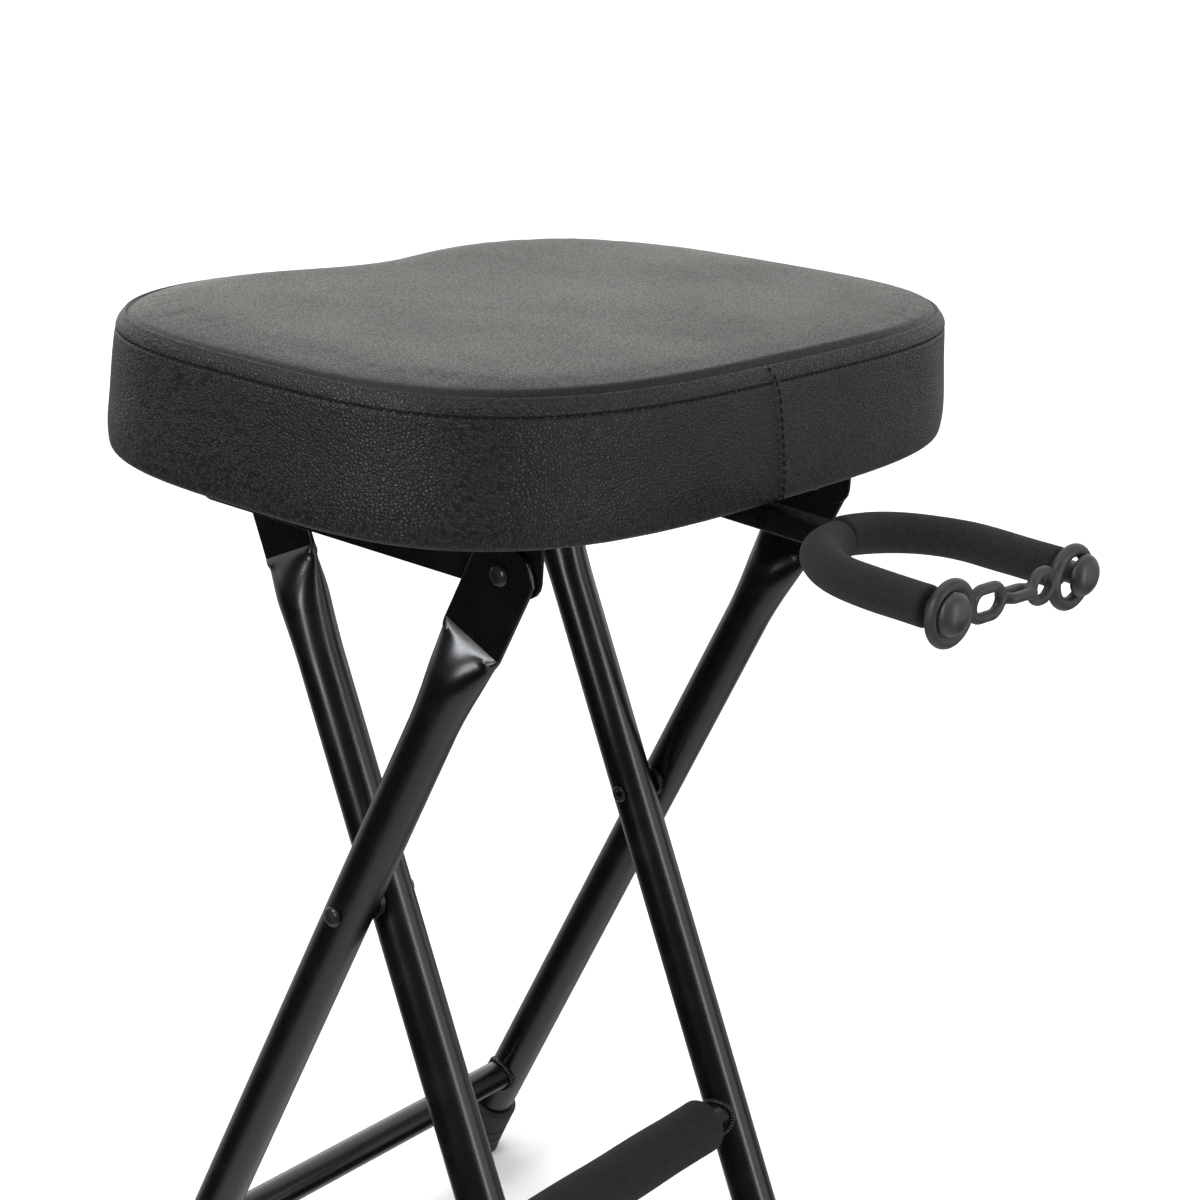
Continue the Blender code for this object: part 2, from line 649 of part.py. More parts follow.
def make_sleeve(side):
    """Return one foam sleeve on the yoke, with a slot at its base for the arm."""
    path = yoke_path(GAP / YOKE_BEND, 0)
    outer = [circle(p, d, SLEEVE_DIAMETER / 2, SMALL_SIDES) for p, d in path]
    inner = [circle(p, d, YOKE_ROD / 2 + GAP, SMALL_SIDES) for p, d in reversed(path)]
    reach = ARM_SIDE / 2 + GAP
    slot = block((YOKE_BASE - SLEEVE_DIAMETER, -reach, ARM_CENTRE - reach),
                 (YOKE_BASE, reach, ARM_CENTRE + reach))
    return mirror_side(boolean(skin(outer + inner, loop=True), [slot]), side)


def make_yoke_rod():
    """Return the bent steel rod inside the foam sleeves."""
    half = yoke_path(0, KNOB_SOCKET)
    other = [(Vector((p.x, -p.y, p.z)), Vector((-d.x, d.y, d.z))) for p, d in reversed(half[1:])]
    return skin([circle(p, d, YOKE_ROD / 2, SMALL_SIDES) for p, d in other + half])


def make_arm():
    """Return the square tube arm, drilled for the swivel bolt."""
    end = YOKE_BASE - YOKE_ROD / 2 - GAP
    stations = (-ARM_BEHIND_BOLT, end)
    bore_side = ARM_SIDE - 2 * ARM_WALL
    outer = rounded_outline(ARM_SIDE, ARM_SIDE, ARM_ROUND, 2)
    inner = rounded_outline(bore_side, bore_side, ARM_ROUND / 2, 2)
    rings = [[Vector((x, p.x, p.y + ARM_CENTRE)) for p in outer] for x in stations]
    rings += [[Vector((x, p.x, p.y + ARM_CENTRE)) for p in inner] for x in reversed(stations)]
    bolt_hole = cylinder(BOLT_DIAMETER / 2 + GAP, ARM_TOP - 2 * ARM_SIDE, ARM_TOP + ARM_SIDE)
    return boolean(skin(rings, loop=True), [bolt_hole])


def make_arm_plug():
    """Return the plastic plug in the arm's inner end."""
    spigot_side = ARM_SIDE - 2 * ARM_WALL - 2 * GAP
    flange = rounded_outline(ARM_SIDE, ARM_SIDE, ARM_ROUND, 2)
    spigot = rounded_outline(spigot_side, spigot_side, ARM_ROUND / 2, 2)
    seat = -ARM_BEHIND_BOLT - GAP
    places = [(seat - PLUG_FLANGE, flange), (seat, flange), (seat, spigot), (seat + PLUG_DEPTH, spigot)]
    return skin([[Vector((x, p.x, p.y + ARM_CENTRE)) for p in outline] for x, outline in places])


def make_knob():
    """Return one end knob along X: a neck with a socket for the rod, and a domed head."""
    neck = KNOB_NECK / 2
    head = KNOB_HEAD / 2
    socket = YOKE_ROD / 2 + GAP
    neck_end = GAP + KNOB_NECK_LENGTH
    edge = neck_end + KNOB_EDGE_ROUND
    return turned([
        (GAP + KNOB_SOCKET, socket),
        (GAP, socket),
        (GAP, neck),
        (neck_end, neck),
        (neck_end, head - KNOB_EDGE_ROUND),
        *((edge + rise, radius) for rise, radius in dome(head, KNOB_HEAD_HEIGHT - KNOB_EDGE_ROUND)),
    ], axis=(1, 0, 0))


def oblong_link(centre, along, aside, length, height, section):
    """Return a closed link of round section, as long and as high as stated over its outside."""
    normal = along.cross(aside)
    bend = (height - section) / 2
    straight = (length - height) / 2
    rings = []
    for angle in angles(LINK_STEPS):
        outward = math.cos(angle) * along + math.sin(angle) * aside
        end = math.copysign(straight, math.cos(angle))
        middle = centre + end * along + bend * outward
        rings.append([middle + section / 2 * (math.cos(a) * outward + math.sin(a) * normal)
                      for a in angles(LINK_SIDES)])
    return skin(rings, loop=True)


def make_strap():
    """Return the moulded rubber strap about its middle: a ring for each knob joined by three oblong links."""
    along = Vector((0, 1, 0))
    up = Vector((0, 0, 1))
    outer = STRAP_RING_BORE + 2 * STRAP_RING_SECTION
    slack = (STRAP_RING_BORE - KNOB_NECK) / 2 - GAP
    ring_place = YOKE_BEND - math.sqrt(slack ** 2 - STRAP_HANG ** 2)
    link_low = STRAP_MID_LENGTH / 2 - STRAP_LINK_OVERLAP
    link_high = ring_place - outer / 2 + STRAP_LINK_OVERLAP
    flat = oblong_link(Vector((0, 0, 0)), along, Vector((1, 0, 0)), STRAP_MID_LENGTH, STRAP_MID_WIDTH,
                       STRAP_LINK_SECTION)
    joined = []
    for side in SIDES.values():
        joined.append(oblong_link(side * ring_place * along, along, up, outer, outer, STRAP_RING_SECTION))
        middle = side * (link_low + link_high) / 2
        joined.append(oblong_link(middle * along, along, up, link_high - link_low, STRAP_LINK_HEIGHT,
                                  STRAP_LINK_SECTION))
    return boolean(flat, joined, "UNION")


def add_hanger(swivel, paint, foam, rubber, plastic):
    """Add the swing-out arm, the yoke with its foam sleeves and knobs, and the rubber strap."""
    hanger = add_empty("hanger", swivel, rotation=(0, 0, HANGER_YAW))
    add_piece("hanger_arm", make_arm(), hanger, paint)
    add_piece("arm_plug", make_arm_plug(), hanger, plastic)
    add_piece("yoke_rod", make_yoke_rod(), hanger, paint)
    for label, side in SIDES.items():
        add_piece(f"foam_sleeve_{label}", make_sleeve(side), hanger, foam)
        add_piece(f"end_knob_{label}", make_knob(), hanger, plastic, prong_point(side, 0))
    strap_place = prong_point(0, KNOB_NECK_LENGTH - STRAP_RING_SECTION / 2)
    strap_place.z -= STRAP_HANG
    add_piece("neck_strap", make_strap(), hanger, rubber, strap_place)


def centre_over_origin(root):
    """Move the whole stool along X so that its box is centred over the origin."""
    bpy.context.view_layer.update()
    reach = [(item.matrix_world @ vertex.co).x for item in bpy.data.objects if item.type == "MESH"
             for vertex in item.data.vertices]
    root.location.x = -(min(reach) + max(reach)) / 2
    bpy.context.view_layer.update()


def main():
    """Build the stool."""
    clear_scene()
    paint = make_finish("black_paint", (0.012, 0.012, 0.013), 0.22, 0.0)
    leather = make_finish("black_leatherette", (0.022, 0.021, 0.022), 0.48)
    plywood = make_finish("black_board", (0.030, 0.028, 0.027), 0.85)
    foam = make_finish("black_foam", (0.018, 0.018, 0.018), 0.95)
    rubber = make_finish("black_rubber", (0.030, 0.031, 0.033), 0.62)
    plastic = make_finish("black_plastic", (0.032, 0.033, 0.035), 0.50)
    steel = make_finish("dark_steel", (0.060, 0.060, 0.062), 0.35, 1.0)
    root = add_empty("stool")
    add_outer_frame(root, paint, rubber, steel)
    add_inner_frame(root, paint, rubber, foam, steel)
    swivel = add_seat(root, leather, plywood, paint, steel)
    add_hanger(swivel, paint, foam, rubber, plastic)
    centre_over_origin(root)


main()
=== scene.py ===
"""Looks of the folding guitar stool: sewn seat, pressed tube legs, foam-covered yoke and studio stage."""

import json
import logging
import math
from dataclasses import dataclass
from enum import Enum
from typing import Iterable, Sequence

import bmesh
import bpy
import numpy as np
from mathutils import Matrix, Vector


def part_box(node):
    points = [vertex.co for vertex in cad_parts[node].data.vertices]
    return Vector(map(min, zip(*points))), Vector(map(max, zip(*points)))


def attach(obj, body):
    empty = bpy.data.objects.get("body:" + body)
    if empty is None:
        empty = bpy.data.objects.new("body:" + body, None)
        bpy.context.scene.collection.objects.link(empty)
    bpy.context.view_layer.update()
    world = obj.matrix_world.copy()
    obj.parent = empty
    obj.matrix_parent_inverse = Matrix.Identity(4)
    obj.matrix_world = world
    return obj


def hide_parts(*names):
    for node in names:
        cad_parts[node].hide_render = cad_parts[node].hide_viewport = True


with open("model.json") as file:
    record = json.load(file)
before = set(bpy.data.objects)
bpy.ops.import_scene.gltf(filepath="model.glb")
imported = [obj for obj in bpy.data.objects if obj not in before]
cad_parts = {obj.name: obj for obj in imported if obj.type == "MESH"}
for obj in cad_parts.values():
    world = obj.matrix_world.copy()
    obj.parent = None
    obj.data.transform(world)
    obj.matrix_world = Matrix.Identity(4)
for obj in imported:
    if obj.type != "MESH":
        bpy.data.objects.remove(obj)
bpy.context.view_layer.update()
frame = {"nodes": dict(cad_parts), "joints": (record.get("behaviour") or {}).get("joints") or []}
LOG = logging.getLogger("guitar_stool")
UP = Vector((0.0, 0.0, 1.0))
ACROSS = Vector((0.0, 1.0, 0.0))
MERGE_DISTANCE = 1e-6
FLAT_ANGLE = math.radians(0.5)
POINTED_RADIUS = 1e-5
FULL_TURN = 2.0 * math.pi
FOAM_SHARP = 50.0
AWAY = "away"

# Ranges of shader values: all of it, and where most of a noise lies
WHOLE = (0.0, 1.0)
NOISE_MIDDLE = (0.3, 0.7)

# Rows of the seat's cover, counted down from its seam
SEAMED_ROWS = slice(4, 28)
UNEVEN_ROWS = slice(9, 26)
PLEATED_ROWS = slice(-8, -4)
STAPLED_ROW = -6

Ring = list[Vector]
Triple = tuple[float, float, float]
Colour = Triple
Span = tuple[float, float]
Relief = tuple[float, float]
Profile = list[tuple[float, float]]
Mesh = bpy.types.Mesh
Object = bpy.types.Object
Material = bpy.types.Material
Socket = bpy.types.NodeSocket


class Body(Enum):
    """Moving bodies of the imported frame."""

    OUTER = "outer_frame"
    INNER = "inner_frame"
    SEAT = "seat"
    HANGER = "hanger"


class Slot(Enum):
    """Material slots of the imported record."""

    PAINT = "black_paint"
    LEATHERETTE = "black_leatherette"
    BOARD = "black_board"
    FOAM = "black_foam"
    RUBBER = "black_rubber"
    PLASTIC = "black_plastic"
    STEEL = "dark_steel"


class Side(Enum):
    """Sides of the stool, as seen by the camera."""

    NEAR = -1.0
    FAR = 1.0

    @property
    def label(self) -> str:
        """Return the side's name as the nodes spell it."""
        return self.name.lower()


# Shared mesh and node helpers

def joint_place(name: str) -> Vector:
    """Return a point on the axis of a joint of the frame, at rest."""
    return next(Vector(joint["pos_m"]) for joint in frame["joints"] if joint["name"] == name)


def box_centre(node: str) -> Vector:
    """Return the middle of a node's box."""
    low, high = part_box(node)
    return (Vector(low) + Vector(high)) / 2.0


def on_middle(node: str) -> Vector:
    """Return the middle of a node's box, moved onto the stool's middle plane."""
    centre = box_centre(node)
    return Vector((centre.x, 0.0, centre.z))


def loft(rings: Sequence[Ring], loop: bool = False) -> Mesh:
    """Skin a row of rings of equal count with quads.

    Args:
        rings: Closed rings of points, in order.
        loop: Whether the last ring joins the first, instead of a face that closes each end.

    Returns:
        A mesh whose faces point outwards.
    """
    build = bmesh.new()
    rows = [[build.verts.new(point) for point in ring] for ring in rings]
    pairs = list(zip(rows, rows[1:] + rows[:1])) if loop else list(zip(rows, rows[1:]))
    count = len(rows[0])
    for low, high in pairs:
        for index in range(count):
            after = (index + 1) % count
            build.faces.new((low[index], low[after], high[after], high[index]))
    if not loop:
        build.faces.new(list(reversed(rows[0])))
        build.faces.new(rows[-1])
    bmesh.ops.recalc_face_normals(build, faces=build.faces)
    return to_mesh(build, "loft")


def to_mesh(build: bmesh.types.BMesh, name: str) -> Mesh:
    """Turn a bmesh into a mesh and free it."""
    mesh = bpy.data.meshes.new(name)
    build.to_mesh(mesh)
    build.free()
    return mesh


def square_axes(direction: Vector) -> tuple[Vector, Vector]:
    """Return two unit vectors square to a direction and to each other."""
    helper = UP if abs(direction.z) < 0.9 else ACROSS
    first = direction.cross(helper).normalized()
    return first, direction.cross(first).normalized()


def turns_round(count: int) -> list[float]:
    """Return equal steps of a full turn."""
    return [FULL_TURN * step / count for step in range(count)]


def quarter_turns(steps: int) -> list[float]:
    """Return equal steps of a quarter turn, both ends included."""
    return [math.pi / 2 * step / steps for step in range(steps + 1)]


def circle(centre: Vector, direction: Vector, radius: float, sides: int) -> Ring:
    """Return a ring of points round a centre, square to a unit direction."""
    first, second = square_axes(direction)
    return [centre + radius * (math.cos(turn) * first + math.sin(turn) * second)
            for turn in turns_round(sides)]


def turned(profile: Profile, origin: Vector, axis: Vector, sides: int = 48) -> Mesh:
    """Return a closed mesh of a profile of heights and radii, turned about an axis from its origin."""
    return loft([circle(origin + float(height) * axis, axis, max(radius, POINTED_RADIUS), sides)
                 for height, radius in profile])


def rounded_end(length: float, radius: float, rounding: float, steps: int = 5) -> Profile:
    """Return heights and radii over the rounded edge of a round bar's end, from side to end face."""
    return [(length - rounding * (1 - math.sin(turn)), radius - rounding * (1 - math.cos(turn)))
            for turn in quarter_turns(steps)]


def rounded_bar(half: float, radius: float, rounding: float, between: Profile) -> Profile:
    """Return heights and radii of a round bar with two rounded ends and a given profile between them."""
    end = rounded_end(half, radius, rounding)
    return [(-height, size) for height, size in reversed(end)] + between + end


def dome(radius: float, height: float, steps: int = 7) -> Profile:
    """Return height and radius pairs over a quarter ellipse, from its edge to its middle."""
    return [(height * math.sin(turn), radius * math.cos(turn)) for turn in quarter_turns(steps)]


def smooth(mesh: Mesh, sharp_degrees: float = 35.0) -> Mesh:
    """Shade a mesh smooth but for edges past an angle, and return it."""
    mesh.shade_smooth()
    mesh.set_sharp_from_angle(angle=math.radians(sharp_degrees))
    return mesh


def joined(meshes: Iterable[Mesh]) -> Mesh:
    """Return one mesh that holds the faces of several."""
    build = bmesh.new()
    for mesh in meshes:
        build.from_mesh(mesh)
        bpy.data.meshes.remove(mesh)
    return to_mesh(build, "joined")


def new_object(name: str, data: bpy.types.ID) -> Object:
    """Return a new object of the scene that holds some data."""
    item = bpy.data.objects.new(name, data)
    bpy.context.scene.collection.objects.link(item)
    return item


def scratch_object(mesh: Mesh) -> Object:
    """Return a passing object that holds a mesh."""
    return new_object("scratch", mesh)


def settled(item: Object) -> Mesh:
    """Turn a scratch object's evaluated shape into a plain mesh and remove the object.

    Args:
        item: The scratch object, with its modifiers.

    Returns:
        The plain mesh.
    """
    graph = bpy.context.evaluated_depsgraph_get()
    mesh = bpy.data.meshes.new_from_object(item.evaluated_get(graph), preserve_all_data_layers=True,
                                           depsgraph=graph)
    source = item.data
    bpy.data.objects.remove(item)
    bpy.data.meshes.remove(source)
    return mesh


def places_of(mesh: Mesh) -> np.ndarray:
    """Return the places of a mesh's vertices, one row each."""
    places = np.empty(len(mesh.vertices) * 3, dtype=np.float32)
    mesh.vertices.foreach_get("co", places)
    return places.reshape(-1, 3)


def move_to(mesh: Mesh, places: np.ndarray) -> None:
    """Put a mesh's vertices at new places."""
    mesh.vertices.foreach_set("co", places.astype(np.float32).ravel())
    mesh.update()


def cad_copy(node: str) -> Mesh:
    """Return a merged copy of a node's mesh, with flat faces whole again."""
    build = bmesh.new()
    build.from_mesh(frame["nodes"][node].data)
    bmesh.ops.remove_doubles(build, verts=build.verts, dist=MERGE_DISTANCE)
    bmesh.ops.dissolve_limit(build, angle_limit=FLAT_ANGLE, verts=build.verts, edges=build.edges)
    return to_mesh(build, node)


def add_piece(name: str, mesh: Mesh, material: Material, body: Body,
              nodes: Sequence[str] = ()) -> Object:
    """Add a finished piece, let it ride on its body and report it.

    Args:
        name: Name of the piece.
        mesh: Its mesh, in world place.
        material: Its finish.
        body: The body it moves with.
        nodes: The nodes that it stands for.

    Returns:
        The new object.
    """
    mesh.name = name
    mesh.materials.clear()
    mesh.materials.append(material)
    piece = new_object(name, mesh)
    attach(piece, body.value)
    if nodes:
        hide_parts(*nodes)
    LOG.info("%s rides on %s, %d faces", name, body.value, len(mesh.polygons))
    return piece


def subdivide(item: Object) -> None:
    """Soften an object by one level of subdivision."""
    finer = item.modifiers.new("softening", "SUBSURF")
    finer.levels = finer.render_levels = 1


def bevel(piece: Object, width: float, degrees: float = 38.0) -> None:
    """Round the edges of a piece that are sharper than an angle."""
    rounding = piece.modifiers.new("edge_rounding", "BEVEL")
    rounding.width = width
    rounding.segments = 2
    rounding.limit_method = "ANGLE"
    rounding.angle_limit = math.radians(degrees)
    rounding.harden_normals = True


def add_cad_piece(name: str, nodes: Sequence[str], material: Material, body: Body, edge: float,
                  sharp_degrees: float = 35.0) -> None:
    """Add a piece that has its nodes' own shape, with rounded edges.

    Args:
        name: Name of the piece.
        nodes: The nodes that it stands for.
        material: Its finish.
        body: The body it moves with.
        edge: Width of its edges' rounding.
        sharp_degrees: Angle past which an edge stays sharp.
    """
    mesh = smooth(joined([cad_copy(node) for node in nodes]), sharp_degrees)
    bevel(add_piece(name, mesh, material, body, nodes), edge)


def dress_node(node: str, material: Material) -> None:
    """Give a node that stays in view its finish."""
    mesh = frame["nodes"][node].data
    mesh.materials.clear()
    mesh.materials.append(material)
    LOG.info("%s keeps its solid, with %s", node, material.name)


class ShaderTree:
    """Nodes of one material, with short calls for what the finishes share."""

    def __init__(self, name: str) -> None:
        """Start a material with a Principled shader and Object coordinates."""
        self.material = bpy.data.materials.new(name)
        self.material.use_nodes = True
        self.tree = self.material.node_tree
        self.tree.nodes.clear()
        self.shader = self.add("ShaderNodeBsdfPrincipled")
        output = self.add("ShaderNodeOutputMaterial")
        self.tree.links.new(self.shader.outputs["BSDF"], output.inputs["Surface"])
        self.place = self.add("ShaderNodeTexCoord").outputs["Object"]

    def add(self, kind: str, **settings: object) -> bpy.types.Node:
        """Add a node and set its properties.

        Args:
            kind: Blender's name for the node type.
            settings: Properties of the node.

        Returns:
            The new node.
        """
        node = self.tree.nodes.new(kind)
        for key, value in settings.items():
            setattr(node, key, value)
        return node

    def feed(self, target: Socket, source: object) -> None:
        """Link a socket to an input, or set the input to a constant."""
        if isinstance(source, Socket):
            self.tree.links.new(source, target)
        else:
            target.default_value = source

    def stretched(self, scale: Triple) -> Socket:
        """Return Object coordinates scaled along each axis."""
        mapping = self.add("ShaderNodeMapping")
        self.feed(mapping.inputs["Vector"], self.place)
        self.feed(mapping.inputs["Scale"], scale)
        return mapping.outputs["Vector"]

    def texture(self, kind: str, scale: float, place: object, **settings: object) -> bpy.types.Node:
        """Add a texture node.

        Args:
            kind: Blender's name for the node type.
            scale: Features per metre.
            place: Coordinates, or None for Object coordinates.
            settings: Properties of the node.

        Returns:
            The new node.
        """
        node = self.add(kind, **settings)
        self.feed(node.inputs["Vector"], place or self.place)
        self.feed(node.inputs["Scale"], scale)
        return node

    def noise(self, scale: float, detail: float = 2.0, place: object = None) -> Socket:
        """Return a noise value between 0 and 1.

        Args:
            scale: Features per metre.
            detail: Number of finer layers.
            place: Coordinates, or None for Object coordinates.

        Returns:
            The factor socket.
        """
        node = self.texture("ShaderNodeTexNoise", scale, place)
        self.feed(node.inputs["Detail"], detail)
        return node.outputs["Fac"]

    def cells(self, scale: float, feature: str, place: object = None) -> Socket:
        """Return the distance of a Voronoi feature, at a number of cells per metre."""
        return self.texture("ShaderNodeTexVoronoi", scale, place, feature=feature).outputs["Distance"]

    def warped(self, scale: float, amount: float, place: object = None) -> Socket:
        """Return coordinates that a noise pushes about by an amount in metres."""
        noise = self.texture("ShaderNodeTexNoise", scale, place)
        push = self.add("ShaderNodeVectorMath", operation="MULTIPLY_ADD")
        self.feed(push.inputs[0], noise.outputs["Color"])
        self.feed(push.inputs[1], (amount, amount, amount))
        self.feed(push.inputs[2], place or self.place)
        return push.outputs["Vector"]

    def spread(self, source: Socket, start: Span, end: Span = WHOLE) -> Socket:
        """Map one range of a value onto another, held at both ends."""
        node = self.add("ShaderNodeMapRange", clamp=True)
        self.feed(node.inputs["Value"], source)
        for socket, value in zip(("From Min", "From Max", "To Min", "To Max"), (*start, *end)):
            self.feed(node.inputs[socket], value)
        return node.outputs["Result"]

    def sums(self, operation: str, first: object, second: object) -> Socket:
        """Return the result of a sum on two values."""
        node = self.add("ShaderNodeMath", operation=operation)
        self.feed(node.inputs[0], first)
        self.feed(node.inputs[1], second)
        return node.outputs["Value"]

    def plus(self, first: object, second: object) -> Socket:
        """Return two values added up."""
        return self.sums("ADD", first, second)

    def times(self, first: object, second: object) -> Socket:
        """Return two values multiplied."""
        return self.sums("MULTIPLY", first, second)

    def tint(self, share: Socket, first: Colour, second: Colour) -> Socket:
        """Return a colour between two, by a share from 0 to 1."""
        node = self.add("ShaderNodeMix", data_type="RGBA")
        self.feed(node.inputs["Factor"], share)
        self.feed(node.inputs[6], (*first, 1.0))
        self.feed(node.inputs[7], (*second, 1.0))
        return node.outputs[2]

    def relief(self, height: Socket, depth: float, strength: object = 1.0,
               under: Socket | None = None) -> Socket:
        """Return a normal bent by a height.

        Args:
            height: Height from 0 to 1.
            depth: Depth of the relief in metres.
            strength: Share of the relief that shows.
            under: A normal that this relief lies on.

        Returns:
            The normal socket.
        """
        node = self.add("ShaderNodeBump")
        self.feed(node.inputs["Height"], height)
        self.feed(node.inputs["Distance"], depth)
        self.feed(node.inputs["Strength"], strength)
        if under:
            self.feed(node.inputs["Normal"], under)
        return node.outputs["Normal"]

    def dress(self, **inputs: object) -> Material:
        """Feed the shader's inputs, named with underscores, and return the material."""
        for key, value in inputs.items():
            self.feed(self.shader.inputs[key.replace("_", " ").title().replace("Ior", "IOR")], value)
        return self.material


# Finishes, whose reliefs are a depth in metres and the share of it that shows

@dataclass(frozen=True)
class Leatherette:
    """Satin black cover with a pebbled, lightly wrinkled grain."""

    name: str = "pebbled_leatherette"
    panel: str = "skirt_share"
    # Painted shade: the crease colour is near black in the grain's creases; the pebble colour is the cover's
    # tone with a painted highlight on the pebble tops
    crease: Colour = (0.0008, 0.0007, 0.0010)
    pebble: Colour = (0.0115, 0.0105, 0.0128)
    pebbles_per_metre: float = 560.0
    pebble_stretch: Triple = (1.0, 1.0, 1.2)
    wanders_per_metre: float = 210.0
    wander: float = 0.0018
    edge_span: Span = (0.02, 0.20)
    dome_span: Span = (0.0, 0.75)
    dome_fall: Span = (1.0, 0.2)
    wrinkles_per_metre: float = 300.0
    wrinkle_stretch: Triple = (1.0, 1.0, 0.55)
    pores_per_metre: float = 2600.0
    blotches_per_metre: float = 14.0
    grain_share: float = 0.85
    wrinkle_share: float = 0.26
    relief: float = 0.00042
    pore_relief: Relief = (0.00003, 0.6)
    top_relief: float = 0.28
    # Painted shade on the top panel: the share of the painted grain highlight that is kept there
    top_shade: float = 0.35
    shade_span: Span = (0.10, 0.80)
    roughness: Span = (0.54, 0.29)
    blotch_roughness: Span = (-0.03, 0.04)
    specular: float = 0.46

    def material(self) -> Material:
        """Return the cover's material; its grain is flatter on the top panel, where painted shade darkens the
        colour and weakens the painted grain highlight.
        """
        tree = ShaderTree(self.name)
        place = tree.warped(self.wanders_per_metre, self.wander, tree.stretched(self.pebble_stretch))
        edge = tree.spread(tree.cells(self.pebbles_per_metre, "DISTANCE_TO_EDGE", place), self.edge_span)
        dome = tree.spread(tree.cells(self.pebbles_per_metre, "F1", place), self.dome_span, self.dome_fall)
        wrinkle = tree.noise(self.wrinkles_per_metre, 4.0, tree.stretched(self.wrinkle_stretch))
        grain = tree.times(edge, dome)
        height = tree.plus(tree.times(grain, self.grain_share), tree.times(wrinkle, self.wrinkle_share))
        skirt = tree.add("ShaderNodeAttribute", attribute_name=self.panel).outputs["Fac"]
        coarse = tree.relief(height, self.relief, tree.spread(skirt, WHOLE, (self.top_relief, 1.0)))
        normal = tree.relief(tree.noise(self.pores_per_metre), *self.pore_relief, coarse)
        blotch = tree.noise(self.blotches_per_metre, 3.0)
        rough = tree.plus(tree.spread(grain, WHOLE, self.roughness),
                          tree.spread(blotch, NOISE_MIDDLE, self.blotch_roughness))
        # The top panel keeps only part of the painted grain highlight, as painted shade
        shade = tree.times(tree.spread(grain, self.shade_span),
                           tree.spread(skirt, WHOLE, (self.top_shade, 1.0)))
        # Painted light: colour runs from painted shade in the creases to the tone and painted highlight of
        # the pebble tops
        colour = tree.tint(shade, self.crease, self.pebble)
        return tree.dress(base_color=colour, roughness=rough, normal=normal, specular_ior_level=self.specular)


@dataclass(frozen=True)
class GlossPaint:
    """Gloss black stove paint with a faint orange peel and a few rubbed places."""

    name: str = "gloss_black_paint"
    colour: Colour = (0.0022, 0.0021, 0.0021)
    dulled: Colour = (0.0050, 0.0047, 0.0044)
    rubs_per_metre: float = 42.0
    rub_span: Span = (0.52, 0.78)
    strokes_per_metre: float = 160.0
    stroke_stretch: Triple = (1.0, 1.0, 0.12)
    specks_per_metre: float = 900.0
    speck_span: Span = (0.66, 0.78)
    peels_per_metre: float = 380.0
    peel_relief: Relief = (0.00006, 0.35)
    pits_per_metre: float = 2400.0
    pit_relief: Relief = (0.00001, 0.3)
    roughness: Span = (0.27, 0.35)
    stroke_roughness: Span = (-0.008, 0.012)
    speck_roughness: float = 0.12
    specular: float = 0.5
    coat: float = 0.25
    coat_roughness: float = 0.20

    def material(self) -> Material:
        """Return the paint's material."""
        tree = ShaderTree(self.name)
        rubbed = tree.spread(tree.noise(self.rubs_per_metre, 5.0), self.rub_span)
        brushed = tree.noise(self.strokes_per_metre, 3.0, tree.stretched(self.stroke_stretch))
        speck = tree.spread(tree.noise(self.specks_per_metre), self.speck_span)
        rough = tree.plus(tree.spread(rubbed, WHOLE, self.roughness),
                          tree.spread(brushed, NOISE_MIDDLE, self.stroke_roughness))
        rough = tree.plus(rough, tree.times(speck, self.speck_roughness))
        peel = tree.relief(tree.noise(self.peels_per_metre, 1.0), *self.peel_relief)
        normal = tree.relief(tree.noise(self.pits_per_metre, 1.0), *self.pit_relief, peel)
        colour = tree.tint(rubbed, self.colour, self.dulled)
        return tree.dress(base_color=colour, roughness=rough, normal=normal, specular_ior_level=self.specular,
                          coat_weight=self.coat, coat_roughness=self.coat_roughness)


@dataclass(frozen=True)
class CellFoam:
    """Matte black closed-cell foam with an open, dusty skin."""

    name: str = "closed_cell_foam"
    pore: Colour = (0.0045, 0.0042, 0.0040)
    skin: Colour = (0.0135, 0.0126, 0.0119)
    pores_per_metre: float = 1500.0
    pore_span: Span = (0.05, 0.6)
    wanders_per_metre: float = 500.0
    wander: float = 0.0012
    lumps_per_metre: float = 620.0
    lump_shade: Span = (0.15, 1.0)
    dust_per_metre: float = 70.0
    dust_shade: Span = (0.75, 1.0)
    pore_share: float = 0.45
    lump_share: float = 0.9
    relief: Relief = (0.00036, 0.8)
    roughness: Span = (0.84, 0.97)
    specular: float = 0.28
    sheen: float = 0.03
    sheen_roughness: float = 0.6

    def material(self) -> Material:
        """Return the foam's material."""
        tree = ShaderTree(self.name)
        place = tree.warped(self.wanders_per_metre, self.wander)
        pores = tree.spread(tree.cells(self.pores_per_metre, "F1", place), self.pore_span)
        lumps = tree.noise(self.lumps_per_metre, 4.0)
        dust = tree.noise(self.dust_per_metre, 4.0)
        share = tree.times(tree.spread(lumps, NOISE_MIDDLE, self.lump_shade),
                           tree.spread(dust, NOISE_MIDDLE, self.dust_shade))
        height = tree.plus(tree.times(pores, self.pore_share), tree.times(lumps, self.lump_share))
        return tree.dress(base_color=tree.tint(share, self.pore, self.skin),
                          roughness=tree.spread(dust, NOISE_MIDDLE, self.roughness),
                          normal=tree.relief(height, *self.relief), specular_ior_level=self.specular,
                          sheen_weight=self.sheen, sheen_roughness=self.sheen_roughness)


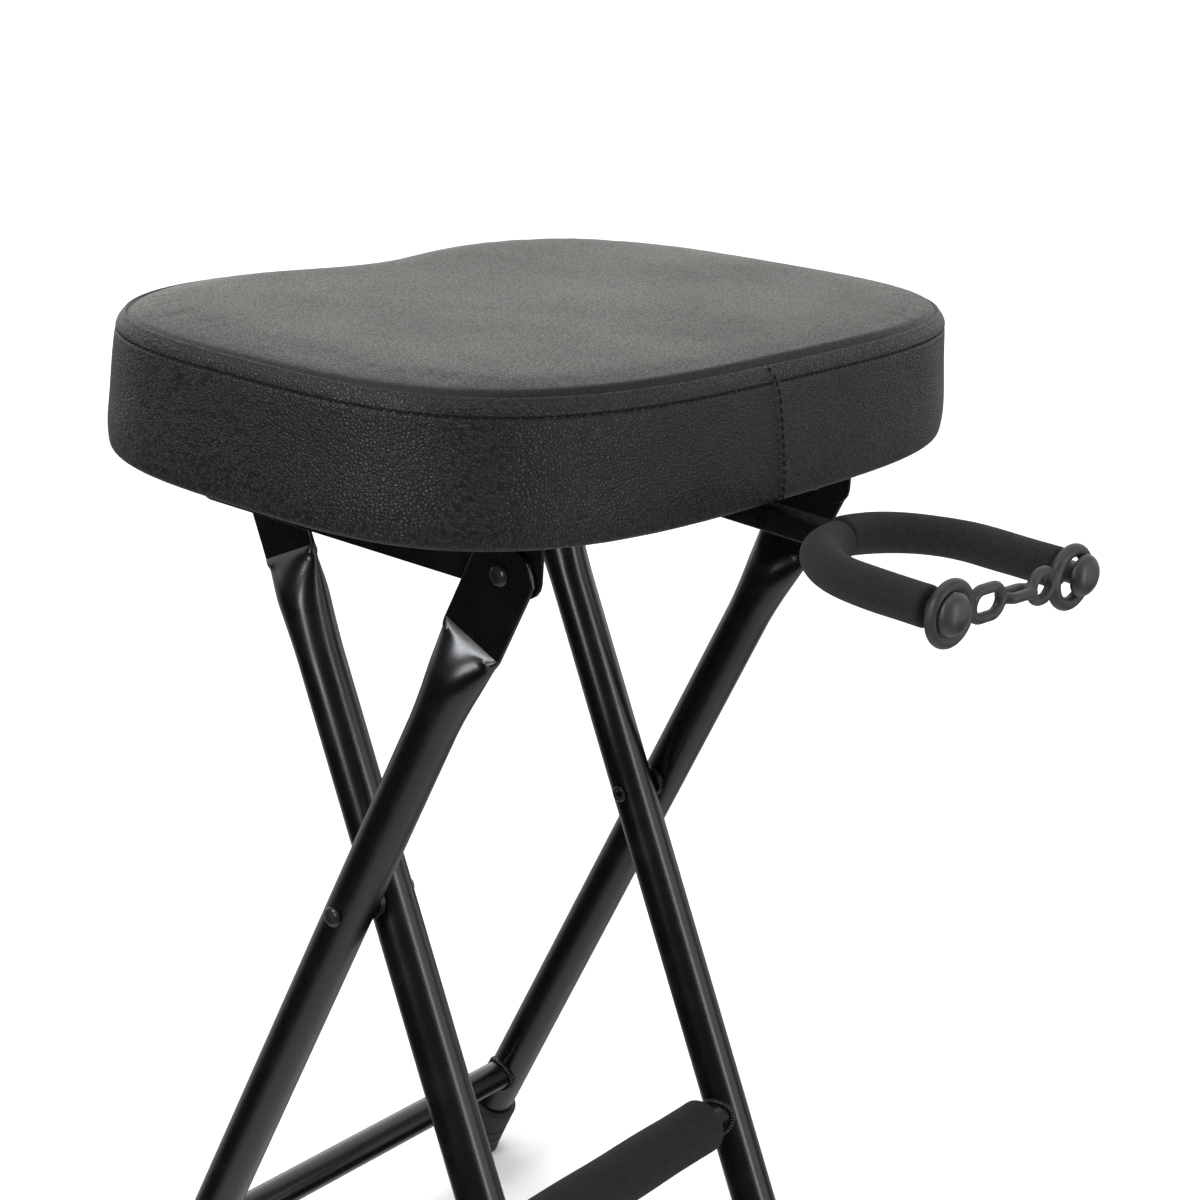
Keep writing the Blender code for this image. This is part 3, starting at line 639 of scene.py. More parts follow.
@dataclass(frozen=True)
class MouldedRubber:
    """Satin moulded rubber with a fine bloom and faint flow marks."""

    name: str = "moulded_rubber"
    colour: Colour = (0.0128, 0.0133, 0.0148)
    bloom: Colour = (0.0285, 0.0298, 0.0322)
    roughness: float = 0.46
    bloom_roughness: Span = (-0.07, 0.10)
    blooms_per_metre: float = 95.0
    bloom_span: Span = (0.32, 0.72)
    flows_per_metre: float = 420.0
    flow_stretch: Triple = (1.0, 0.25, 1.0)
    flow_roughness: Span = (-0.03, 0.03)
    flow_relief: Relief = (0.00008, 0.35)
    pits_per_metre: float = 1700.0
    pit_relief: Relief = (0.00006, 0.5)
    specular: float = 0.45

    def material(self) -> Material:
        """Return the rubber's material."""
        tree = ShaderTree(self.name)
        bloom = tree.spread(tree.noise(self.blooms_per_metre, 5.0), self.bloom_span)
        flow = tree.noise(self.flows_per_metre, 3.0, tree.stretched(self.flow_stretch))
        low, high = (self.roughness + change for change in self.bloom_roughness)
        rough = tree.plus(tree.spread(bloom, WHOLE, (low, high)),
                          tree.spread(flow, NOISE_MIDDLE, self.flow_roughness))
        marks = tree.relief(flow, *self.flow_relief)
        normal = tree.relief(tree.noise(self.pits_per_metre), *self.pit_relief, marks)
        colour = tree.tint(bloom, self.colour, self.bloom)
        return tree.dress(base_color=colour, roughness=rough, normal=normal, specular_ior_level=self.specular)


@dataclass(frozen=True)
class BlackenedSteel:
    """Blackened steel with a turned, slightly oily surface."""

    name: str = "blackened_steel"
    dark: Colour = (0.022, 0.020, 0.018)
    rubbed: Colour = (0.052, 0.048, 0.043)
    rubs_per_metre: float = 150.0
    rub_span: Span = (0.40, 0.80)
    marks_per_metre: float = 2600.0
    mark_relief: Relief = (0.00002, 0.5)
    roughness: Span = (0.19, 0.27)
    mark_roughness: Span = (-0.02, 0.03)
    metallic: float = 0.55

    def material(self) -> Material:
        """Return the steel's material."""
        tree = ShaderTree(self.name)
        wear = tree.spread(tree.noise(self.rubs_per_metre, 3.0), self.rub_span)
        marks = tree.noise(self.marks_per_metre)
        rough = tree.plus(tree.spread(wear, WHOLE, self.roughness),
                          tree.spread(marks, NOISE_MIDDLE, self.mark_roughness))
        return tree.dress(base_color=tree.tint(wear, self.dark, self.rubbed), roughness=rough,
                          metallic=self.metallic, normal=tree.relief(marks, *self.mark_relief))


@dataclass(frozen=True)
class BackingCloth:
    """Black non-woven cloth under the seat board."""

    name: str = "backing_cloth"
    low: Colour = (0.0090, 0.0090, 0.0095)
    high: Colour = (0.0300, 0.0295, 0.0300)
    fibres_per_metre: float = 1500.0
    fibre_stretches: tuple[Triple, Triple] = ((1.0, 0.2, 1.0), (0.2, 1.0, 1.0))
    dots_per_metre: float = 480.0
    dot_stretch: Triple = (1.0, 1.0, 0.0)
    dot_span: Span = (0.10, 0.32)
    shade_span: Span = (0.2, 1.3)
    relief: Relief = (0.00018, 0.7)
    roughness: float = 0.93
    specular: float = 0.25

    def material(self) -> Material:
        """Return the cloth's material, with a bonded dot grid over its fibres."""
        tree = ShaderTree(self.name)
        fibres, cross = (tree.noise(self.fibres_per_metre, 4.0, tree.stretched(stretch))
                         for stretch in self.fibre_stretches)
        cells = tree.cells(self.dots_per_metre, "F1", tree.stretched(self.dot_stretch))
        height = tree.times(tree.plus(fibres, cross), tree.spread(cells, self.dot_span))
        share = tree.spread(height, self.shade_span)
        return tree.dress(base_color=tree.tint(share, self.low, self.high), roughness=self.roughness,
                          specular_ior_level=self.specular, normal=tree.relief(height, *self.relief))


@dataclass(frozen=True)
class SewingThread:
    """Black bonded thread with a visible twist."""

    name: str = "bonded_thread"
    dark: Colour = (0.0010, 0.0010, 0.0011)
    light: Colour = (0.0042, 0.0041, 0.0044)
    twists_per_metre: float = 2400.0
    twist_stretch: Triple = (1.0, 1.0, 0.4)
    relief: Relief = (0.00008, 0.7)
    roughness: float = 0.62
    specular: float = 0.3

    def material(self) -> Material:
        """Return the thread's material."""
        tree = ShaderTree(self.name)
        twist = tree.noise(self.twists_per_metre, 1.0, tree.stretched(self.twist_stretch))
        return tree.dress(base_color=tree.tint(twist, self.dark, self.light), roughness=self.roughness,
                          normal=tree.relief(twist, *self.relief), specular_ior_level=self.specular)


@dataclass(frozen=True)
class PaleFloor:
    """Matte white studio floor."""

    name: str = "pale_floor"
    colour: Colour = (0.86, 0.86, 0.86)
    roughness: float = 0.9
    specular: float = 0.1

    def material(self) -> Material:
        """Return the floor's material."""
        return ShaderTree(self.name).dress(base_color=(*self.colour, 1.0), roughness=self.roughness,
                                           specular_ior_level=self.specular)


@dataclass(frozen=True)
class Finishes:
    """Materials that the sub-assemblies share."""

    paint: Material
    leatherette: Material
    foam: Material
    strap_rubber: Material
    foot_rubber: Material
    plastic: Material
    steel: Material
    staple: Material
    cloth: Material
    thread: Material

    @classmethod
    def made(cls) -> "Finishes":
        """Make every finish once."""
        foot = MouldedRubber("foot_rubber", (0.0105, 0.0105, 0.0110), (0.0230, 0.0230, 0.0235), 0.62)
        plastic = MouldedRubber("moulded_plastic", (0.0170, 0.0176, 0.0190), (0.0300, 0.0310, 0.0330), 0.40)
        staple = BlackenedSteel("bright_staple", (0.25, 0.25, 0.25), (0.45, 0.44, 0.42))
        return cls(
            paint=GlossPaint().material(),
            leatherette=Leatherette().material(),
            foam=CellFoam().material(),
            strap_rubber=MouldedRubber().material(),
            foot_rubber=foot.material(),
            plastic=plastic.material(),
            steel=BlackenedSteel().material(),
            staple=staple.material(),
            cloth=BackingCloth().material(),
            thread=SewingThread().material(),
        )


# Geometry Nodes

class SetOut:
    """Geometry Nodes tree that sets out a repeated shape, with named inputs."""

    def __init__(self, name: str, inputs: Sequence[str], kind: str = "NodeSocketFloat") -> None:
        """Start a tree.

        Args:
            name: Name of the tree.
            inputs: Names of its inputs, besides the geometry and the finish.
            kind: Socket type of those inputs.
        """
        self.group = bpy.data.node_groups.new(name, "GeometryNodeTree")
        face = self.group.interface
        face.new_socket(name="Geometry", in_out="INPUT", socket_type="NodeSocketGeometry")
        kinds = {**dict.fromkeys(inputs, kind), "Finish": "NodeSocketMaterial"}
        self.identifiers = {key: face.new_socket(name=key, in_out="INPUT", socket_type=socket).identifier
                            for key, socket in kinds.items()}
        face.new_socket(name="Geometry", in_out="OUTPUT", socket_type="NodeSocketGeometry")
        self.given = self.group.nodes.new("NodeGroupInput").outputs

    def node(self, kind: str, feeds: dict[object, object] | None = None,
             **settings: object) -> bpy.types.Node:
        """Add a node, set its properties and feed its inputs.

        Args:
            kind: Blender's name for the node type.
            feeds: Inputs by name or number, with a socket or a value each.
            settings: Properties of the node.

        Returns:
            The new node.
        """
        node = self.group.nodes.new(kind)
        for key, value in settings.items():
            setattr(node, key, value)
        for key, source in (feeds or {}).items():
            if isinstance(source, Socket):
                self.group.links.new(source, node.inputs[key])
            else:
                node.inputs[key].default_value = source
        return node

    def away(self) -> Socket:
        """Return the outward direction that each point carries."""
        stored = self.node("GeometryNodeInputNamedAttribute", {"Name": AWAY}, data_type="FLOAT_VECTOR")
        return stored.outputs["Attribute"]

    def close(self, points: Socket, shape: Socket, turn: Socket, scale: object = (1.0, 1.0, 1.0)) -> "SetOut":
        """Put the shape on the points, realize it, give it its finish and end the tree.

        Args:
            points: Points or a curve to set out on.
            shape: The shape that repeats.
            turn: Rotation of each copy.
            scale: Scale of each copy.

        Returns:
            The tree itself.
        """
        copies = self.node("GeometryNodeInstanceOnPoints",
                           {"Points": points, "Instance": shape, "Rotation": turn, "Scale": scale})
        real = self.node("GeometryNodeRealizeInstances", {"Geometry": copies.outputs[0]})
        finish = self.node("GeometryNodeSetMaterial",
                           {"Geometry": real.outputs[0], "Material": self.given["Finish"]})
        self.node("NodeGroupOutput", {0: finish.outputs[0]})
        return self

    def run(self, mesh: Mesh, **values: object) -> Mesh:
        """Run the tree on a mesh of points or paths.

        Args:
            mesh: The points or paths.
            values: Inputs by name, with underscores for spaces.

        Returns:
            A plain mesh of the realized copies.
        """
        item = scratch_object(mesh)
        modifier = item.modifiers.new("set_out", "NODES")
        modifier.node_group = self.group
        for key, value in values.items():
            modifier[self.identifiers[key.replace("_", " ")]] = value
        return settled(item)


def along_path(tree: SetOut) -> tuple[Socket, Socket]:
    """Add the nodes that space points along the given paths, by the input "Pitch".

    Args:
        tree: The tree that takes the nodes.

    Returns:
        The points and the rotation that turns X along the path and Z away from the piece.
    """
    curve = tree.node("GeometryNodeMeshToCurve", {"Mesh": tree.given["Geometry"]})
    spaced = tree.node("GeometryNodeResampleCurve",
                       {"Curve": curve.outputs[0], "Length": tree.given["Pitch"]}, mode="LENGTH")
    tangent = tree.node("GeometryNodeInputTangent")
    first = tree.node("FunctionNodeAlignRotationToVector", {"Vector": tangent.outputs[0]}, axis="X")
    second = tree.node("FunctionNodeAlignRotationToVector",
                       {"Rotation": first.outputs[0], "Vector": tree.away()}, axis="Z", pivot_axis="X")
    return spaced.outputs[0], second.outputs[0]


def stitch_tree() -> SetOut:
    """Return the tree that sews a run of stitches along a path."""
    tree = SetOut("run_of_stitches", ("Pitch", "Length", "Thickness"))
    points, turn = along_path(tree)
    bead = tree.node("GeometryNodeMeshUVSphere", {"Segments": 8, "Rings": 6, "Radius": 0.5})
    thick = tree.given["Thickness"]
    size = tree.node("ShaderNodeCombineXYZ", {"X": tree.given["Length"], "Y": thick, "Z": thick})
    shaded = tree.node("GeometryNodeSetShadeSmooth", {"Geometry": bead.outputs[0]})
    return tree.close(points, shaded.outputs[0], turn, size.outputs[0])


def staple_tree() -> SetOut:
    """Return the tree that drives staples along a path."""
    tree = SetOut("row_of_staples", ("Pitch", "Half Crown", "Wire", "Bow"))
    points, turn = along_path(tree)
    half = tree.given["Half Crown"]
    back = tree.node("ShaderNodeMath", {0: 0.0, 1: half}, operation="SUBTRACT")
    start, end = (tree.node("ShaderNodeCombineXYZ", {"X": reach}) for reach in (back.outputs[0], half))
    top = tree.node("ShaderNodeCombineXYZ", {"Z": tree.given["Bow"]})
    crown = tree.node("GeometryNodeCurveQuadraticBezier", {"Resolution": 6, "Start": start.outputs[0],
                                                           "Middle": top.outputs[0], "End": end.outputs[0]})
    section = tree.node("GeometryNodeCurvePrimitiveCircle", {"Resolution": 6, "Radius": tree.given["Wire"]})
    wire = tree.node("GeometryNodeCurveToMesh", {"Curve": crown.outputs[0], "Fill Caps": True,
                                                 "Profile Curve": section.outputs[0]})
    return tree.close(points, wire.outputs[0], turn)


def weld_tree() -> SetOut:
    """Return the tree that lays a rippled weld bead along a path."""
    tree = SetOut("weld_ripples", ("Pitch", "Bead"))
    points, turn = along_path(tree)
    drop = tree.node("GeometryNodeMeshIcoSphere", {"Radius": 1.0, "Subdivisions": 2})
    shaded = tree.node("GeometryNodeSetShadeSmooth", {"Geometry": drop.outputs[0]})
    spread = {"Min": (0.62, 0.9, 0.85), "Max": (0.72, 1.1, 1.05), "Seed": 7}
    uneven = tree.node("FunctionNodeRandomValue", spread, data_type="FLOAT_VECTOR")
    size = tree.node("ShaderNodeVectorMath", {0: uneven.outputs[0], "Scale": tree.given["Bead"]},
                     operation="SCALE")
    return tree.close(points, shaded.outputs[0], turn, size.outputs[0])


def fastener_tree() -> SetOut:
    """Return the tree that puts a fastener on each point, its head along the point's direction."""
    tree = SetOut("set_of_fasteners", ("Fastener",), "NodeSocketObject")
    pattern = tree.node("GeometryNodeObjectInfo", {"Object": tree.given["Fastener"]})
    turn = tree.node("FunctionNodeAlignRotationToVector", {"Vector": tree.away()}, axis="Z")
    return tree.close(tree.given["Geometry"], pattern.outputs["Geometry"], turn.outputs[0])


def path_mesh(points: Ring, away: Ring, closed: bool = False, linked: bool = True) -> Mesh:
    """Return a mesh of points, or of a path through them, that carries outward directions.

    Args:
        points: Points in order.
        away: Outward direction at each point.
        closed: Whether the path returns to its start.
        linked: Whether edges join the points.

    Returns:
        The mesh, with the directions as an attribute.
    """
    count = len(points)
    steps = (count if closed else count - 1) if linked else 0
    edges = [(step, (step + 1) % count) for step in range(steps)]
    mesh = bpy.data.meshes.new("path")
    mesh.from_pydata([tuple(point) for point in points], edges, [])
    directions = np.array([tuple(direction) for direction in away], dtype=np.float32)
    mesh.attributes.new(AWAY, "FLOAT_VECTOR", "POINT").data.foreach_set("vector", directions.ravel())
    return mesh


def fasteners(pattern: Mesh, points: Ring, away: Ring, material: Material) -> Mesh:
    """Set a fastener on each point by Geometry Nodes.

    Args:
        pattern: The fastener about its seat, head along Z.
        points: Places of the seats.
        away: Directions of the heads.
        material: Finish of the fasteners.

    Returns:
        One mesh of them all.
    """
    item = scratch_object(pattern)
    mesh = fastener_tree().run(path_mesh(points, away, linked=False), Fastener=item, Finish=material)
    bpy.data.objects.remove(item)
    bpy.data.meshes.remove(pattern)
    return mesh


# Seat

def mark_skirt(mesh: Mesh, shares: np.ndarray) -> None:
    """Store which vertices belong to the skirt, for the cover's finish."""
    store = mesh.attributes.new(Leatherette.panel, "FLOAT", "POINT")
    store.data.foreach_set("value", shares.astype(np.float32))


@dataclass
class SeatCushion:
    """Padded saddle seat: a flat top with a rolled edge, a topstitched skirt and a wrapped underside."""

    finishes: Finishes
    centre_from_rivet: float = 0.0835
    hanger_squareness: float = 3.3
    notch_squareness: float = 3.1
    notch_depth: float = 0.0251
    notch_half_width: float = 0.0817
    reach_rounds: int = 40
    cells_per_side: int = 72
    plain_share: float = 0.870
    close_levels: tuple[float, ...] = (0.900, 0.925, 0.945, 0.960, 0.972, 0.982, 0.9905, 1.0)
    seam_rise: float = 0.0682
    seam_inset: float = 0.0088
    seam_step: float = 0.0010
    seam_valley: float = 0.0013
    valley_start: float = 0.984
    seam_lip: tuple[Span, ...] = ((0.0004, -0.0004), (-0.0001, 0.00055), (-0.0010, 0.0001))
    start_crown: float = 0.0006
    crown_power: float = 3.0
    roll_rise: float = 0.0044
    roll_share: float = 0.024
    roll_skew: float = 1.6
    roll_most: float = 0.034
    shoulder_depth: float = 0.0110
    shoulder_height: float = 0.0100
    shoulder_turns: tuple[float, ...] = (42.0, 34.0, 25.0, 16.0, 8.0)
    stitch_rise: float = 0.0603
    groove_depth: float = 0.0011
    groove_half_width: float = 0.0010
    skirt_lean: float = 0.0043
    skirt_start: float = 0.035
    skirt_rows: int = 15
    tuck_start: float = 0.72
    hem_start: float = 0.95
    hem_round: float = 0.0046
    hem_tuck: float = 0.0016
    hem_turns: tuple[float, ...] = (25.0, 50.0, 75.0)
    hem_drop: float = 0.0004
    wrap_rows: tuple[float, ...] = (0.0075, 0.0112, 0.0160)
    wrap_reach: float = 0.0230
    wrap_edge: float = 0.0010
    wrap_thickness: float = 0.0009
    board_recess: float = 0.0073
    board_thickness: float = 0.0123
    board_gap: float = 0.0001
    held: float = 1.0
    shoulder_hold: float = 0.35
    groove_hold: float = 0.9
    skirt_hold: float = 0.15
    hem_hold: float = 0.92
    held_top: float = 0.985
    pressure: float = 4.0
    cloth_quality: int = 6
    cloth_mass: float = 0.35
    cloth_stiffness: float = 18.0
    cloth_bending: float = 1.0
    swell_frames: int = 20
    swell_cap: float = 0.0010
    skirt_cap: float = 0.0013
    unevenness: float = 0.00022
    pleat_depth: float = 0.0002
    pleats: int = 40
    sew_pitch: float = 0.0043
    sew_length: float = 0.0031
    sew_thickness: float = 0.0009
    sew_proud: float = 0.00015
    staple_pitch: float = 0.024
    staple_half_crown: float = 0.005
    staple_wire: float = 0.00035
    staple_bow: float = 0.0010
    staple_gap: float = 0.0001
    lap_width: float = 0.0078
    lap_proud: float = 0.0006
    lap_thickness: float = 0.0007
    lap_top: float = -0.0225
    lap_drift: float = 0.0135
    lap_reach_share: float = 0.6
    lap_sew_proud: float = 0.0002
    lap_offsets: tuple[float, ...] = (-1.0, -0.97, -0.85, -0.5, 0.0, 0.5, 0.9, 0.985, 1.0)
    lap_lifts: tuple[float, ...] = (-0.6, 0.1, 0.5, 0.8, 0.9, 1.0, 1.0, 0.85, -0.6)

    def __post_init__(self) -> None:
        """Read the seat's place and reach, and find the scooped end's reach before its scoop."""
        low, high = (Vector(corner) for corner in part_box("seat_cushion"))
        self.middle = Vector((joint_place("seat_lift").x - self.centre_from_rivet, 0.0, low.z))
        self.hanger_reach = high.x - self.middle.x
        self.half_width = (high.y - low.y) / 2.0
        self.notch_reach = scooped = self.middle.x - low.x
        quarter = np.linspace(math.pi / 2, math.pi, 721)
        for _ in range(self.reach_rounds):
            self.notch_reach += scooped + self.rim(quarter)[:, 0].min()

    def rim(self, turns: np.ndarray, inset: float = 0.0) -> np.ndarray:
        """Return outline points about the seat's middle.

        Args:
            turns: Polar angles.
            inset: Distance inside the outline.

        Returns:
            An array of X and Y.
        """
        along, aside = np.cos(turns), np.sin(turns)
        hanger = along > 0
        reach = np.where(hanger, self.hanger_reach, self.notch_reach) - inset
        power = np.where(hanger, self.hanger_squareness, self.notch_squareness)
        sides = np.abs(aside / (self.half_width - inset)) ** power
        radius = (np.abs(along / reach) ** power + sides) ** (-1 / power)
        x, y = radius * along, radius * aside
        scoop = np.where(hanger, 0.0, self.notch_depth * np.exp(-(y / self.notch_half_width) ** 2))
        return np.stack([x + scoop, y], axis=1)

    def levels(self) -> np.ndarray:
        """Return the top panel's grid lines from its middle to its edge, close together at the seam."""
        plain = self.cells_per_side // 2 - len(self.close_levels) + 1
        return np.concatenate([np.linspace(0.0, self.plain_share, plain), self.close_levels])

    def top_rise(self, share: np.ndarray, turns: np.ndarray) -> np.ndarray:
        """Return the top panel's rise.

        Args:
            share: Share of the way from the middle to the seam.
            turns: Polar angles: the roll inside the seam is wider towards the scooped end.

        Returns:
            Heights above the seat's underside.
        """
        crown = self.start_crown * (1.0 - share ** self.crown_power)
        width = np.minimum(self.roll_most, self.roll_share * np.exp(-self.roll_skew * np.cos(turns)))
        roll = self.roll_rise * (1.0 - np.exp((share - 1.0) / width))
        dip = np.clip((share - self.valley_start) / (1.0 - self.valley_start), 0.0, 1.0) ** 2
        return self.seam_rise + crown + roll - self.seam_valley * dip

    def profile(self) -> list[Triple]:
        """Return rows of inset, rise and hold from the seam down the skirt and under the board."""
        lean, rise = self.skirt_lean, self.stitch_rise
        rows = [(self.seam_inset + inward, self.seam_rise + up, self.held) for inward, up in self.seam_lip]
        for angle in map(math.radians, self.shoulder_turns):
            rows.append((lean + self.shoulder_depth * (1 - math.cos(angle)),
                         rise + self.shoulder_height * math.sin(angle), self.shoulder_hold))
        rows += [(lean, rise + self.groove_half_width, self.groove_hold),
                 (lean + self.groove_depth, rise, self.held),
                 (lean, rise - self.groove_half_width, self.groove_hold)]
        for share in np.linspace(self.skirt_start, 1.0, self.skirt_rows):
            tuck = self.hem_tuck * max(0.0, (share - self.tuck_start) / (1.0 - self.tuck_start)) ** 2
            rows.append((lean * (1 - share) + tuck, rise + (self.hem_round - rise) * share,
                         self.hem_hold if share > self.hem_start else self.skirt_hold))
        for angle in map(math.radians, self.hem_turns):
            rows.append((self.hem_tuck + self.hem_round * (1 - math.cos(angle)),
                         self.hem_round * (1 - math.sin(angle)) - self.hem_drop, self.held))
        under = -self.wrap_thickness
        rows += [(reach, under, self.held) for reach in (*self.wrap_rows, self.wrap_reach - self.wrap_edge)]
        rows += [(self.wrap_reach, under + 0.0003, self.held),
                 (self.wrap_reach + 0.0001, -self.board_gap, self.held),
                 (self.board_recess, -self.board_gap, self.held),
                 (self.board_recess, self.board_thickness, self.held)]
        return rows

    def build(self) -> None:
        """Build and dress the cushion and what is sewn and stapled to it."""
        mesh = self.raw_cover()
        self.swell(mesh)
        self.ease(mesh)
        item = scratch_object(mesh)
        subdivide(item)
        cover = settled(item)
        cover.shade_smooth()
        self.places = places_of(cover)
        piece = add_piece("seat_cover", cover, self.finishes.leatherette, Body.SEAT,
                          ["seat_cushion"])
        self.sew()
        self.staple()
        self.side_seam()

    def raw_cover(self) -> Mesh:
        """Return the cover before it swells, and note its rows, their columns' turns and every hold."""
        count = self.cells_per_side
        lines = self.levels()
        axis = np.concatenate([-lines[:0:-1], lines])
        u, v = (part.ravel() for part in np.meshgrid(axis, axis, indexing="ij"))
        share = np.maximum(np.abs(u), np.abs(v))
        safe = np.where(share > 0, share, 1.0)
        reach = np.where(u > 0, self.hanger_reach, self.notch_reach)
        turns = np.arctan2(v / safe * self.half_width, u / safe * reach)
        flat = self.rim(turns, self.seam_inset + self.seam_step) * share[:, None]
        top = np.column_stack([flat, self.top_rise(share, turns)])
        grid = np.arange(len(top)).reshape(count + 1, count + 1)
        edge = np.concatenate([grid[-1, :-1], grid[:0:-1, -1], grid[0, :0:-1], grid[:-1, 0]])
        points, holds, rows = [top], [np.where(share > self.held_top, self.held, 0.0)], [edge]
        start = len(top)
        for inset, level, hold in self.profile():
            ring = self.rim(turns[edge], inset)
            points.append(np.column_stack([ring, np.full(len(ring), level)]))
            holds.append(np.full(len(ring), hold))
            rows.append(np.arange(start, start + len(ring)))
            start += len(ring)
        faces = [(grid[i, j], grid[i + 1, j], grid[i + 1, j + 1], grid[i, j + 1])
                 for i in range(count) for j in range(count)]
        for upper, lower in zip(rows, rows[1:]):
            faces += list(zip(upper, lower, np.roll(lower, -1), np.roll(upper, -1)))
        faces += self.rungs(rows[-1])
        places = np.concatenate(points) + np.array(self.middle)
        mesh = bpy.data.meshes.new("seat_cover")
        mesh.from_pydata(places.tolist(), [], [tuple(map(int, face)) for face in faces])
        build = bmesh.new()
        build.from_mesh(mesh)
        bmesh.ops.recalc_face_normals(build, faces=build.faces)
        build.to_mesh(mesh)
        build.free()
        mark_skirt(mesh, np.arange(start) >= len(top))
        self.rows, self.turns, self.holds = np.array(rows), turns[edge], np.concatenate(holds)
        self.top_count = len(top)
        return mesh

    def rungs(self, ring: np.ndarray) -> list[tuple[int, ...]]:
        """Return faces that close the last ring inside the cover, as rungs along X."""
        ordered = np.roll(ring, -7 * self.cells_per_side // 2)
        return [tuple(dict.fromkeys((ordered[step], ordered[step + 1], ordered[-step - 1], ordered[-step])))
                for step in range(len(ring) // 2)]

    def swell(self, mesh: Mesh) -> None:
        """Let cloth under pressure swell the cover, with its seams, hem and underside held.

        Args:
            mesh: The cover, which takes the swollen places.
        """
        item = scratch_object(mesh.copy())
        group = item.vertex_groups.new(name="held")
        for hold in np.unique(self.holds):
            members = np.flatnonzero(self.holds == hold)
            group.add([int(index) for index in members], float(hold), "REPLACE")
        cloth = item.modifiers.new("padding", "CLOTH")
        cloth.collision_settings.use_collision = False
        settings = cloth.settings
        settings.vertex_group_mass = group.name
        settings.use_pressure = True
        settings.uniform_pressure_force = self.pressure
        settings.effector_weights.gravity = 0.0
        settings.quality = self.cloth_quality
        settings.mass = self.cloth_mass
        settings.tension_stiffness = settings.compression_stiffness = self.cloth_stiffness
        settings.bending_stiffness = self.cloth_bending
        scene = bpy.context.scene
        for step in range(1, self.swell_frames + 1):
            scene.frame_set(step)
        swollen = settled(item)
        scene.frame_set(1)
        before = places_of(mesh)
        move = places_of(swollen) - before
        bpy.data.meshes.remove(swollen)
        length = np.linalg.norm(move, axis=1)
        cap = np.full(len(length), self.skirt_cap)
        cap[:self.top_count] = self.swell_cap
        eased = cap * np.tanh(length / cap)
        move *= (eased / np.maximum(length, 1e-9))[:, None]
        LOG.info("cushion swelled by up to %.1f mm", 1000.0 * float(np.linalg.norm(move, axis=1).max()))
        move_to(mesh, before + move)

    def ease(self, mesh: Mesh) -> None:
        """Add the slow unevenness of a stuffed cover and the pleats of its wrapped underside.

        Args:
            mesh: The cover, which takes the new places.
        """
        places, turns = places_of(mesh), self.turns
        outward = np.column_stack([np.cos(turns), np.sin(turns)])
        uneven = self.rows[UNEVEN_ROWS]
        for index, row in enumerate(uneven):
            wave = np.sin(9 * turns + 0.4 * index) + 0.7 * np.sin(17 * turns + 1.3)
            wave += 0.5 * np.sin(31 * turns - 0.3 * index)
            fade = math.sin(math.pi * (index + 0.5) / len(uneven))
            places[row, :2] += (self.unevenness * fade * wave)[:, None] * outward
        corner = np.abs(np.sin(2 * turns)) ** 6
        pleat = (self.pleat_depth * corner * (1 + np.sin(self.pleats * turns))).astype(np.float32)
        for row in self.rows[PLEATED_ROWS]:
            places[row, 2] -= pleat
        move_to(mesh, places)

    def outward(self, places: np.ndarray) -> Ring:
        """Return level directions away from the seat on a closed row of places."""
        ahead = np.roll(places, -1, axis=0) - np.roll(places, 1, axis=0)
        away = [Vector((step[1], -step[0], 0.0)).normalized() for step in ahead]
        if away[0].dot(Vector(places[0]) - self.middle) < 0:
            return [-direction for direction in away]
        return away

    def stitch(self, name: str, points: Ring, away: Ring, closed: bool = False) -> None:
        """Add a run of stitches.

        Args:
            name: Name of the piece.
            points: Points of the run, in order.
            away: Outward direction at each point.
            closed: Whether the run returns to its start.
        """
        thread = stitch_tree().run(path_mesh(points, away, closed), Pitch=self.sew_pitch,
                                   Length=self.sew_length, Thickness=self.sew_thickness,
                                   Finish=self.finishes.thread)
        add_piece(name, thread, self.finishes.thread, Body.SEAT)

    def sew(self) -> None:
        """Sew the topstitch round the skirt, in the row that is nearest to its rise."""
        gaps = [abs(level - self.stitch_rise) for _, level, _ in self.profile()]
        line = self.places[self.rows[1 + int(np.argmin(gaps))]]
        away = self.outward(line)
        points = [Vector(place) + self.sew_proud * direction for place, direction in zip(line, away)]
        self.stitch("topstitch", points, away, closed=True)

    def staple(self) -> None:
        """Staple the wrapped cover to the board."""
        points = [Vector(place) - self.staple_gap * UP for place in self.places[self.rows[STAPLED_ROW]]]
        path = path_mesh(points, [-UP] * len(points), closed=True)
        wires = staple_tree().run(path, Pitch=self.staple_pitch, Half_Crown=self.staple_half_crown,
                                  Wire=self.staple_wire, Bow=self.staple_bow, Finish=self.finishes.staple)
        add_piece("cover_staples", wires, self.finishes.staple, Body.SEAT)

